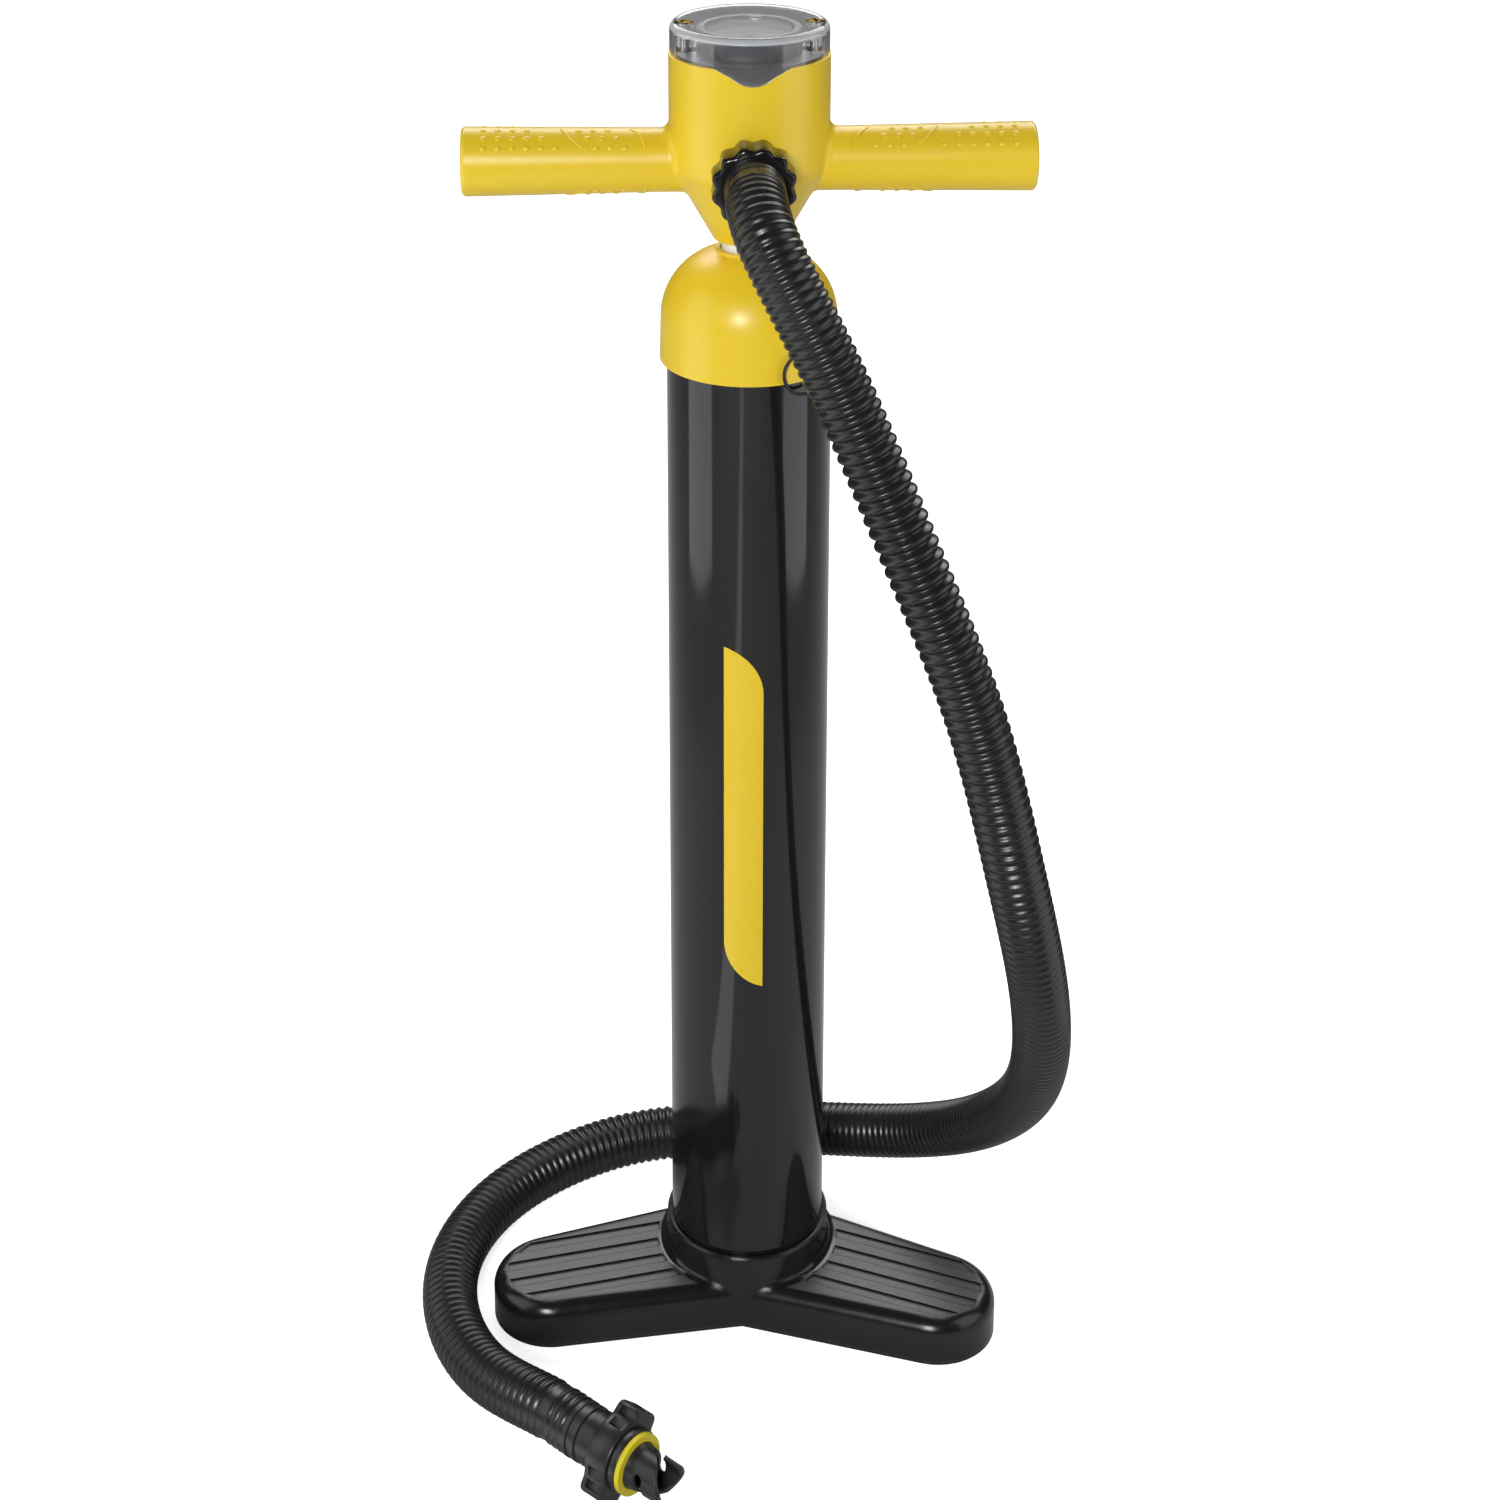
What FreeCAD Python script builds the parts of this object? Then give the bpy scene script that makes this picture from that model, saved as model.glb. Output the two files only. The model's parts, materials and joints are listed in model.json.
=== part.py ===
import FreeCAD, Part
import math
import os
import re

import Sketcher

# Stand-up, double-action air pump for inflatables: a barrel on a two-footed base, a hollow
# piston rod with a T handle and pressure gauge on top, and a corrugated hose that ends in a
# bayonet valve adapter lying on the floor.
# Frame: origin on the floor below the barrel's axis, +Z up, +X to the user's right, front at -Y.

SIZES = [
    # base and barrel
    ("notch_reach", 39.0, "centre line to the notch between the feet"),
    ("front_angle", 13.0, "how far the feet's front edges sweep forward, degrees"),
    ("back_angle", 23.5, "how far the feet's back edges sweep forward, degrees"),
    ("tread_angle", 18.2, "direction of a foot's own axis, degrees"),
    ("toe_radius", 28.1, "round end of a foot"),
    ("foot_height", 22.0, "top of the feet"),
    ("foot_rounding", 7.8, "rounding of the feet's top edge"),
    ("shell_wall", 4.0, "wall of the base's hollow underside"),
    ("shell_depth", 18.0, "depth of the base's hollow underside"),
    ("hub_reach", 46.0, "where the hollow underside starts, beside the socket"),
    ("collar_radius", 38.9, "base of the collar around the barrel"),
    ("collar_rim_radius", 38.3, "top of the collar"),
    ("collar_top", 37.7, "height of the collar's rim"),
    ("socket_floor", 8.0, "height of the floor that the barrel stands on"),
    ("tread_depth", 1.0, "depth of a tread band"),
    ("tread_width", 5.8, "width of a tread band"),
    ("tread_pitch", 11.6, "distance between tread bands"),
    ("tread_start", 43.5, "inner ends of the tread bands, from the barrel's axis"),
    ("tread_margin", 6.6, "tread bands to the edge of the toe"),
    ("tube_radius", 36.0, "outside of the barrel"),
    ("bore_radius", 33.0, "inside of the barrel"),
    ("tube_top", 482.0, "upper end of the barrel"),
    ("press_gap", 0.03, "radial gap of parts pressed or glued together"),
    ("running_gap", 0.05, "radial gap of parts that slide or turn"),
    ("plug_top", 22.0, "upper face of the barrel's bottom plug"),
    ("seal_groove", 2.6, "depth of the grooves for seals in the barrel"),
    ("screw_circle", 20.0, "radius of the circle of the base screws"),
    ("screw_radius", 2.0, "shank of a base screw"),
    ("screw_head_radius", 4.0, "head of a base screw"),
    ("screw_head_height", 3.2, "height of that head"),
    ("screw_head_gap", 0.3, "radial room around a screw's head"),
    ("screw_sink", 4.0, "depth of the recess for that head"),
    ("label_half_width", 8.75, "half of the sticker's width"),
    ("label_bottom", 183.0, "lower point of the sticker"),
    ("label_top", 353.0, "upper point of the sticker"),
    ("label_slant", 24.0, "height of the sticker's slanted ends"),
    ("label_thickness", 0.15, "thickness of the sticker"),
    # cap
    ("cap_bottom", 476.5, "lower rim of the cap"),
    ("cap_radius", 39.1, "cap at its lower rim"),
    ("dome_base", 495.0, "height where the cap's dome starts"),
    ("dome_base_radius", 38.6, "cap where its dome starts"),
    ("dome_radius", 31.0, "radius of the dome's curve"),
    ("lip_radius", 14.6, "small raised lip around the rod"),
    ("lip_top", 526.7, "top of the cap's lip"),
    ("guide_radius", 15.5, "bore of the cap for the rod guide"),
    ("guide_bottom", 500.0, "lower end of the rod guide"),
    ("guide_top", 524.0, "upper end of the rod guide"),
    ("selector_height", 492.0, "axis of the plug for single or double action"),
    ("selector_angle", -43.0, "direction of that plug, degrees from +X"),
    ("selector_radius", 3.0, "shank of that plug"),
    # rod and piston
    ("rod_radius", 12.0, "outside of the piston rod"),
    ("rod_bore", 10.4, "inside of the piston rod"),
    ("rod_foot", 46.0, "lower end of the piston rod"),
    ("air_tube_radius", 8.0, "outside of the inner air tube"),
    ("air_tube_bore", 6.5, "inside of the inner air tube"),
    ("piston_radius", 32.6, "piston"),
    ("piston_bottom", 28.0, "lower face of the piston"),
    ("piston_top", 56.0, "upper face of the piston"),
    ("piston_land", 4.0, "height of the piston's lands, and height and depth of its seal grooves"),
    ("piston_hole", 14.0, "air way in the piston's lower face"),
    ("piston_screw_circle", 20.0, "radius of the circle of the piston screws"),
    ("piston_screw_radius", 1.5, "shank of a piston screw"),
    ("piston_screw_head", 2.8, "head of a piston screw"),
    ("retainer_radius", 26.0, "retainer of the piston valve"),
    ("retainer_hole", 6.0, "air way in that retainer"),
    ("retainer_height", 3.5, "thickness of that retainer"),
    ("socket_step", 4.0, "height of the air tube's socket above the rod's"),
    # head: handle and gauge housing
    ("head_turn", 5.8, "how far the handle is turned at rest, degrees"),
    ("head_bottom", 531.5, "lower face of the head"),
    ("head_foot_radius", 15.8, "head at its lower face"),
    ("head_radius", 34.5, "head around the gauge"),
    ("head_shoulder", 565.0, "height where the head's cone ends"),
    ("head_top", 613.4, "rim of the head"),
    ("handle_height", 566.0, "axis of the handle"),
    ("handle_reach", 122.75, "half of the handle's length"),
    ("handle_end_radius", 15.0, "handle at its ends"),
    ("handle_root_radius", 13.9, "handle beside the head"),
    ("handle_rounding", 4.0, "rounding where the handle meets the head"),
    ("shoulder_rounding", 12.0, "rounding between the head's cone and its cylinder"),
    ("rod_socket_top", 556.0, "upper end of the rod's socket in the head"),
    ("recess_radius", 31.6, "recess for the gauge in the head"),
    ("recess_floor", 600.0, "floor of that recess"),
    ("tongue_width", 33.0, "width of the dip in the head's front rim"),
    ("tongue_bend_width", 17.2, "width of the curved bottom of that dip"),
    ("tongue_bend_drop", 3.5, "rim of the head to where that bottom starts"),
    ("tongue_bend_radius", 13.0, "curve of that bottom"),
    ("chamber_radius", 9.5, "air chamber above the head valve"),
    ("chamber_top", 579.5, "top of that chamber"),
    ("gauge_passage", 4.1, "air way from the chamber to the gauge"),
    # hose port
    ("port_height", 567.5, "axis of the hose port"),
    ("port_radius", 14.5, "outside of the port's boss"),
    ("port_bore", 8.0, "air way of the port"),
    ("port_end", 41.5, "front end of the port's boss"),
    ("nut_start", 35.2, "back face of the hose nut"),
    ("nut_end", 50.5, "front face of the hose nut"),
    ("nut_radius", 15.9, "hose nut between its lobes"),
    ("nut_hole", 11.85, "hole in the front of the hose nut"),
    ("nut_front", 4.5, "thickness of the hose nut's front wall"),
    ("nut_bevel", 0.8, "bevels of the hose nut"),
    ("lobe_radius", 2.8, "lobes of the hose nut"),
    ("lobe_circle", 15.2, "circle of the lobes' centres"),
    ("lobe_inset", 0.6, "ends of the lobes, inside the nut's faces"),
    ("tail_radius", 11.1, "hose tails, inside the hose"),
    ("tail_bore", 9.0, "air way of the hose tails"),
    # gauge
    ("lens_top", 626.7, "top of the clear cover"),
    ("lens_radius", 34.0, "clear cover"),
    ("lens_wall", 2.2, "wall of the clear cover"),
    ("lens_rounding", 3.2, "rounding of the clear cover's top edge"),
    ("post_place", 27.4, "posts for the cover's screws, from the axis"),
    ("post_radius", 4.0, "posts for the cover's screws"),
    ("lens_screw_radius", 1.3, "screws of the clear cover"),
    ("gauge_radius", 22.6, "ring of the gauge"),
    ("gauge_can_radius", 19.0, "gauge below its ring"),
    ("gauge_top", 622.6, "top of the gauge's ring"),
    ("dial_height", 617.0, "face of the gauge's dial"),
    ("insert_top", 614.6, "top of the dark insert around the gauge"),
    ("insert_radius", 31.2, "dark insert around the gauge"),
    ("needle_length", 14.0, "gauge needle, from its axis"),
    ("needle_rest", 222.0, "direction of the needle at no pressure, degrees from the handle's +X"),
    # hose and valve adapter
    ("hose_radius", 13.0, "outside of the hose"),
    ("hose_bore", 11.65, "inside of the hose"),
    ("hose_gap", 2.4, "ends of the hose to the nut and to the cuff"),
    ("hose_lead", 12.0, "straight stretch of the hose in front of the nut"),
    ("hose_run_in", 20.0, "straight stretch of the hose behind the cuff"),
    ("adapter_x", -65.8, "back end of the valve adapter, across"),
    ("adapter_y", -134.6, "back end of the valve adapter, forward"),
    ("adapter_z", 22.0, "axis of the valve adapter above the floor"),
    ("adapter_heading", -36.3, "direction of the valve adapter, degrees from +X"),
    ("adapter_roll", 46.0, "how far the adapter's wings are rolled from level, degrees"),
    ("cuff_radius", 12.2, "cuff at the end of the hose"),
    ("wing_start", 16.5, "back of the wing collar, along the adapter"),
    ("wing_end", 28.5, "front of the wing collar"),
    ("wing_span", 21.0, "reach of a wing from the adapter's axis"),
    ("wing_width", 15.0, "width of a wing"),
    ("wing_hub_radius", 14.4, "hub of the wing collar"),
    ("flange_radius", 14.2, "flange behind the gasket"),
    ("flange_end", 32.5, "front of that flange"),
    ("gasket_radius", 13.6, "outside of the gasket"),
    ("gasket_end", 34.8, "front of the gasket"),
    ("nozzle_radius", 9.45, "barrel of the bayonet nozzle"),
    ("nozzle_end", 56.5, "tip of the bayonet nozzle"),
    ("nozzle_bore", 7.2, "air way of the nozzle"),
    ("nozzle_hole", 2.2, "hole in the nozzle's side"),
    ("nozzle_hole_place", 7.0, "gasket to that hole"),
    ("slot_half_width", 5.5, "half of the slot across the nozzle's tip"),
    ("slot_depth", 9.0, "depth of that slot"),
    ("wing_corner", 3.0, "rounding of a wing's corners"),
    ("wing_core_depth", 4.0, "depth of the hollows in the wings' edges"),
]

# The hose's centre line from the port to the adapter: forward and down on the right, round the
# back of the barrel near the floor, and forward again round the left foot.
HOSE_ROUTE = [
    (10, -80, 561), (20, -91.5, 543), (43, -95, 497), (73, -99, 426), (100, -101, 356),
    (118, -98, 285), (130, -85, 224), (134, -58, 165), (125, -12, 108), (102, 28, 67),
    (66, 58, 41), (24, 78, 26), (-18, 87, 17), (-60, 83, 13.2), (-98, 60, 13.2),
    (-127, 25, 13.2), (-140, -18, 13.2), (-134, -60, 13.3), (-112, -96, 15),
]

document = FreeCAD.newDocument("StandUpAirPump")
sheet = document.addObject("Spreadsheet::Sheet", "Sizes")
for row, (alias, number, note) in enumerate(SIZES, start=1):
    sheet.set("A%d" % row, note)
    sheet.set("B%d" % row, str(number))
    sheet.setAlias("B%d" % row, alias)
document.recompute()

ALIASES = {alias for alias, number, note in SIZES}
WORD = re.compile(r"[a-z_]+")
NODES = []


# ---------------------------------------------------------------- helpers

def bound(expression):
    """The expression with each alias read from the sheet, as setExpression wants it."""
    def qualified(match):
        word = match.group()
        return "Sizes." + word if word in ALIASES else word
    return WORD.sub(qualified, str(expression))


def value(expression):
    """The number that an expression over the sheet has now."""
    return float(sheet.evalExpression(bound(expression)))


def place_upright(piece, turn):
    """Turns a piece about the barrel's axis."""
    piece.Placement = FreeCAD.Placement(FreeCAD.Vector(0, 0, 0), FreeCAD.Rotation(value(turn), 0, 0))
    piece.setExpression("Placement.Rotation.Angle", "(%s) * 1deg" % bound(turn))


def place_at_port(piece):
    """Puts a piece made along its own Z on the hose port, with that Z pointing forward."""
    turned = FreeCAD.Rotation(value("head_turn"), 0, 0).multiply(FreeCAD.Rotation(0, 0, 90))
    piece.Placement = FreeCAD.Placement(FreeCAD.Vector(0, 0, value("port_height")), turned)
    piece.setExpression("Placement.Base.z", bound("port_height"))


def place_on_adapter(piece):
    """Puts a piece made along its own Z on the valve adapter's axis."""
    where = FreeCAD.Vector(value("adapter_x"), value("adapter_y"), value("adapter_z"))
    turned = FreeCAD.Rotation(value("adapter_heading"), 90, 0).multiply(
        FreeCAD.Rotation(value("adapter_roll"), 0, 0))
    piece.Placement = FreeCAD.Placement(where, turned)
    for side, alias in (("x", "adapter_x"), ("y", "adapter_y"), ("z", "adapter_z")):
        piece.setExpression("Placement.Base." + side, bound(alias))


def place_on_selector(piece):
    """Puts a piece made along its own Z on the radial axis of the cap's selector plug."""
    piece.Placement = FreeCAD.Placement(FreeCAD.Vector(0, 0, value("selector_height")),
                                        FreeCAD.Rotation(value("selector_angle"), 90, 0))
    piece.setExpression("Placement.Base.z", bound("selector_height"))


def new_body(label):
    """An empty body that becomes the node of that name."""
    body = document.addObject("PartDesign::Body", label)
    body.Label = label
    NODES.append(body)
    return body


def origin_plane(body, role):
    """One of the body's own origin planes."""
    return next(plane for plane in body.Origin.OriginFeatures if plane.Role == role)


def empty_sketch(body, role, offset="0"):
    """A sketch on an origin plane of the body, moved along the plane's normal."""
    sketch = body.newObject("Sketcher::SketchObject", body.Label + "_sketch")
    sketch.AttachmentSupport = (origin_plane(body, role), [""])
    sketch.MapMode = "FlatFace"
    sketch.setExpression("AttachmentOffset.Base.z", bound(offset))
    return sketch


def pin_vertex(sketch, geometry, vertex, across, up):
    """Holds a sketch vertex at two distances from the sketch's origin."""
    for kind, expression in (("DistanceX", across), ("DistanceY", up)):
        number = sketch.addConstraint(
            Sketcher.Constraint(kind, -1, 1, geometry, vertex, value(expression)))
        sketch.setExpression("Constraints[%d]" % number, bound(expression))


def add_outline(sketch, steps):
    """A closed outline. A step is a corner (across, up); (across, up, radius, side) also bends
    the edge that leaves it: side +1 has the arc's centre on the left of the way, -1 on the right."""
    corners = [FreeCAD.Vector(value(step[0]), value(step[1]), 0) for step in steps]
    starts, ends = [], []
    for index, step in enumerate(steps):
        start = corners[index]
        end = corners[(index + 1) % len(steps)]
        if len(step) == 2:
            geometry = sketch.addGeometry(Part.LineSegment(start, end), False)
            starts.append((geometry, 1))
            ends.append((geometry, 2))
            continue
        radius, side = value(step[2]), step[3]
        chord = end - start
        rise = math.sqrt(max(radius ** 2 - (chord.Length / 2) ** 2, 0.0))
        left = FreeCAD.Vector(-chord.y, chord.x, 0) / chord.Length
        centre = (start + end) / 2 + left * (rise * side)
        from_angle = math.atan2(start.y - centre.y, start.x - centre.x)
        to_angle = math.atan2(end.y - centre.y, end.x - centre.x)
        circle = Part.Circle(centre, FreeCAD.Vector(0, 0, 1), radius)
        if side > 0:
            arc = Part.ArcOfCircle(circle, from_angle, to_angle)
        else:
            arc = Part.ArcOfCircle(circle, to_angle, from_angle)
        geometry = sketch.addGeometry(arc, False)
        starts.append((geometry, 1 if side > 0 else 2))
        ends.append((geometry, 2 if side > 0 else 1))
        number = sketch.addConstraint(Sketcher.Constraint("Radius", geometry, radius))
        sketch.setExpression("Constraints[%d]" % number, bound(step[2]))
    for index, step in enumerate(steps):
        geometry, vertex = starts[index]
        sketch.addConstraint(Sketcher.Constraint("Coincident", *ends[index - 1], geometry, vertex))
        pin_vertex(sketch, geometry, vertex, step[0], step[1])


def add_circle(sketch, across, up, radius):
    """A circle held by its centre and radius."""
    centre = FreeCAD.Vector(value(across), value(up), 0)
    circle = Part.Circle(centre, FreeCAD.Vector(0, 0, 1), value(radius))
    geometry = sketch.addGeometry(circle, False)
    pin_vertex(sketch, geometry, 3, across, up)
    number = sketch.addConstraint(Sketcher.Constraint("Radius", geometry, value(radius)))
    sketch.setExpression("Constraints[%d]" % number, bound(radius))


def revolve(body, sketch, axis="V_Axis", cut=False):
    """A full turn of a sketch about one of its axes, added to the body or cut from it."""
    kind = "PartDesign::Groove" if cut else "PartDesign::Revolution"
    feature = body.newObject(kind, body.Label + ("_groove" if cut else "_turned"))
    feature.Profile = (sketch, [""])
    feature.ReferenceAxis = (sketch, [axis])
    feature.Angle = 360.0
    sketch.Visibility = False
    return feature


def pad(body, sketch, length, backwards=False):
    """A sketch pushed out along its normal."""
    feature = body.newObject("PartDesign::Pad", body.Label + "_pad")
    feature.Profile = (sketch, [""])
    feature.Length = value(length)
    feature.setExpression("Length", bound(length))
    feature.Reversed = backwards
    return feature


def pocket(body, sketch, length, backwards=False):
    """A sketch cut into the body, checked to have taken something away."""
    document.recompute()
    before = body.Shape.Volume
    feature = body.newObject("PartDesign::Pocket", body.Label + "_pocket")
    feature.Profile = (sketch, [""])
    feature.Length = value(length)
    feature.setExpression("Length", bound(length))
    feature.Reversed = backwards
    document.recompute()
    if body.Shape.Volume > before - 0.1:
        raise RuntimeError("a pocket of %s cuts nothing" % body.Label)
    return feature


def round_edges(body, radius, wanted):
    """Rounds the edges of the body's tip that the test picks."""
    document.recompute()
    base = body.Tip
    names = ["Edge%d" % number for number, edge in enumerate(base.Shape.Edges, start=1) if wanted(edge)]
    if not names:
        raise RuntimeError("no edges to round on " + body.Label)
    feature = body.newObject("PartDesign::Fillet", body.Label + "_rounding")
    feature.Base = (base, names)
    feature.Radius = value(radius)
    feature.setExpression("Radius", bound(radius))
    document.recompute()
    return feature


def repeat_round(body, features, count):
    """Repeats features about the body's Z axis."""
    feature = body.newObject("PartDesign::PolarPattern", body.Label + "_pattern")
    feature.Originals = features
    feature.Axis = (next(a for a in body.Origin.OriginFeatures if a.Role == "Z_Axis"), [""])
    feature.Angle = 360.0
    feature.Occurrences = count
    body.Tip = feature
    document.recompute()
    return feature


def mirror_sideways(body, features):
    """Repeats features on the other side of the YZ plane."""
    feature = body.newObject("PartDesign::Mirrored", body.Label + "_mirror")
    feature.Originals = features
    feature.MirrorPlane = (origin_plane(body, "YZ_Plane"), [""])
    body.Tip = feature
    document.recompute()
    return feature


def turned(label, steps):
    """A body of revolution about its own Z; steps are (radius, height)."""
    body = new_body(label)
    sketch = empty_sketch(body, "XZ_Plane")
    add_outline(sketch, steps)
    revolve(body, sketch)
    return body


def ring(label, inner, outer, bottom, top):
    """A plain ring about its own Z."""
    return turned(label, [(inner, bottom), (outer, bottom), (outer, top), (inner, top)])


def disc(label, radius, bottom, top):
    """A plain disc about its own Z."""
    return turned(label, [("0", bottom), (radius, bottom), (radius, top), ("0", top)])


def top_edge_at(height):
    """A test for edges that lie wholly at one height."""
    level = value(height)
    return lambda edge: abs(edge.BoundBox.ZMin - level) < 0.01 and abs(edge.BoundBox.ZMax - level) < 0.01


# ---------------------------------------------------------------- base

TOE_X = ("(2 * notch_reach - toe_radius * (1 / cos(back_angle) + 1 / cos(front_angle)))"
         " / (tan(back_angle) - tan(front_angle))")
TOE_Y = "((toe_radius - (%s) * sin(front_angle)) / cos(front_angle) - notch_reach)" % TOE_X


def toe_point(angle, radius, side):
    """A point on a circle about the toe's centre, where an edge that sweeps by angle touches it."""
    across = "(%s) - (%s) * (%s) * sin(%s)" % (TOE_X, side, radius, angle)
    up = "(%s) - (%s) * (%s) * cos(%s)" % (TOE_Y, side, radius, angle)
    return across, up


def foot_steps(inset):
    """The right foot's outline, inset by some length, from the hub round the toe and back."""
    radius = "toe_radius - %s" % inset
    front_y = "-(notch_reach - %s / cos(front_angle)) - hub_reach * tan(front_angle)" % inset
    back_y = "(notch_reach - %s / cos(back_angle)) - hub_reach * tan(back_angle)" % inset
    front_touch = toe_point("front_angle", radius, 1)
    back_touch = toe_point("back_angle", radius, -1)
    return [("hub_reach", front_y), (*front_touch, radius, 1), back_touch, ("hub_reach", back_y)]


def mirrored_x(expression):
    """The same place on the other side."""
    return "-(%s)" % expression


def make_base():
    """Two foot rests and the collar that holds the barrel, one hollow moulding."""
    body = new_body("foot_base")
    front_touch = toe_point("front_angle", "toe_radius", 1)
    back_touch = toe_point("back_angle", "toe_radius", -1)
    plate = empty_sketch(body, "XY_Plane")
    add_outline(plate, [
        ("0", "-notch_reach"),
        (*front_touch, "toe_radius", 1),
        back_touch,
        ("0", "notch_reach"),
        (mirrored_x(back_touch[0]), back_touch[1], "toe_radius", 1),
        (mirrored_x(front_touch[0]), front_touch[1]),
    ])
    pad(body, plate, "foot_height")
    round_edges(body, "foot_rounding", top_edge_at("foot_height"))

    collar = empty_sketch(body, "XZ_Plane")
    add_outline(collar, [("0", "foot_height - 12"), ("collar_radius", "foot_height - 12"),
                         ("collar_radius", "foot_height + 2"), ("collar_rim_radius", "collar_top"),
                         ("0", "collar_top")])
    revolve(body, collar)

    socket = empty_sketch(body, "XZ_Plane")
    add_outline(socket, [("0", "socket_floor"), ("tube_radius + press_gap", "socket_floor"),
                         ("tube_radius + press_gap", "collar_top + 5"), ("0", "collar_top + 5")])
    revolve(body, socket, cut=True)

    hollow = empty_sketch(body, "XY_Plane")
    add_outline(hollow, foot_steps("shell_wall"))
    hollow_cut = pocket(body, hollow, "shell_depth", backwards=True)

    treads = empty_sketch(body, "XY_Plane", "foot_height")
    for lane in (-1.5, -0.5, 0.5, 1.5):
        add_outline(treads, tread_steps(lane))
    tread_cut = pocket(body, treads, "tread_depth")
    mirror_sideways(body, [hollow_cut, tread_cut])

    holes = empty_sketch(body, "XY_Plane")
    add_circle(holes, "screw_circle", "0", "screw_radius + running_gap")
    hole_cut = pocket(body, holes, "socket_floor + 1", backwards=True)
    heads = empty_sketch(body, "XY_Plane")
    add_circle(heads, "screw_circle", "0", "screw_head_radius + screw_head_gap")
    head_cut = pocket(body, heads, "screw_sink", backwards=True)
    repeat_round(body, [hole_cut, head_cut], 4)


def tread_steps(lane):
    """One sunken band of a tread: lane counts bands from the foot's own axis."""
    toe_u = "((%s) * cos(tread_angle) - (%s) * sin(tread_angle))" % (TOE_X, TOE_Y)
    toe_v = "((%s) * sin(tread_angle) + (%s) * cos(tread_angle))" % (TOE_X, TOE_Y)
    corners = []
    for edge, at_toe in ((-0.5, False), (-0.5, True), (0.5, True), (0.5, False)):
        side = "(%s + %s * tread_pitch + %s * tread_width)" % (toe_v, lane, edge)
        if at_toe:
            along = "(%s + sqrt((toe_radius - tread_margin)^2 - (%s - %s)^2))" % (toe_u, side, toe_v)
        else:
            along = "sqrt(tread_start^2 - %s^2)" % side
        corners.append(("%s * cos(tread_angle) + %s * sin(tread_angle)" % (along, side),
                        "%s * cos(tread_angle) - %s * sin(tread_angle)" % (side, along)))
    return corners


# ---------------------------------------------------------------- barrel

def make_barrel():
    """The barrel, the plug that closes its foot, and their seals and screws."""
    ring("barrel_tube", "bore_radius", "tube_radius", "socket_floor", "tube_top")

    plug_radius = "bore_radius - press_gap"
    plug = turned("barrel_plug", [
        ("0", "socket_floor"), (plug_radius, "socket_floor"), (plug_radius, "socket_floor + 5"),
        ("bore_radius - seal_groove", "socket_floor + 5"),
        ("bore_radius - seal_groove", "socket_floor + 8"),
        (plug_radius, "socket_floor + 8"), (plug_radius, "plug_top"), ("0", "plug_top")])
    holes = empty_sketch(plug, "XY_Plane", "socket_floor")
    add_circle(holes, "screw_circle", "0", "screw_radius + press_gap")
    repeat_round(plug, [pocket(plug, holes, "9.5", backwards=True)], 4)

    ring("plug_seal", "bore_radius - seal_groove", "bore_radius - press_gap / 2",
         "socket_floor + 5.1", "socket_floor + 7.9")
    ring("cap_seal", "bore_radius + 0.1", "tube_radius - 0.1", "tube_top", "tube_top + 2")

    screws = new_body("base_screws")
    for radius, start, length in (("screw_head_radius", "screw_sink - screw_head_height", "screw_head_height"),
                                  ("screw_radius", "screw_sink", "13")):
        sketch = empty_sketch(screws, "XY_Plane", start)
        for side_x, side_y in ((1, 0), (0, 1), (-1, 0), (0, -1)):
            add_circle(sketch, "%d * screw_circle" % side_x, "%d * screw_circle" % side_y, radius)
        pad(screws, sketch, length)
    screws.AllowCompound = True


def make_label():
    """The plain sticker on the front of the barrel: a thin curved sheet with slanted ends."""
    half_width, slant = value("label_half_width"), value("label_slant")
    bottom, top = value("label_bottom"), value("label_top")
    bend_across, bend_up = half_width * 0.45, slant * 0.36
    sheet_ring = Part.makeCylinder(value("tube_radius + label_thickness"), top).cut(
        Part.makeCylinder(value("tube_radius"), top))
    corner_low = FreeCAD.Vector(half_width, 0, bottom)
    corner_high = FreeCAD.Vector(-half_width, 0, top)
    left_low = FreeCAD.Vector(-half_width, 0, bottom + slant)
    right_high = FreeCAD.Vector(half_width, 0, top - slant)
    low_bend = FreeCAD.Vector(-bend_across, 0, bottom + bend_up)
    high_bend = FreeCAD.Vector(bend_across, 0, top - bend_up)
    edges = [
        Part.Arc(left_low, low_bend, corner_low).toShape(),
        Part.makeLine(corner_low, right_high),
        Part.Arc(right_high, high_bend, corner_high).toShape(),
        Part.makeLine(corner_high, left_low),
    ]
    stamp = Part.Face(Part.Wire(edges)).extrude(FreeCAD.Vector(0, -2 * value("tube_radius"), 0))
    label = document.addObject("Part::Feature", "barrel_label")
    label.Label = "barrel_label"
    label.Shape = sheet_ring.common(stamp)
    NODES.append(label)


# ---------------------------------------------------------------- cap

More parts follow.
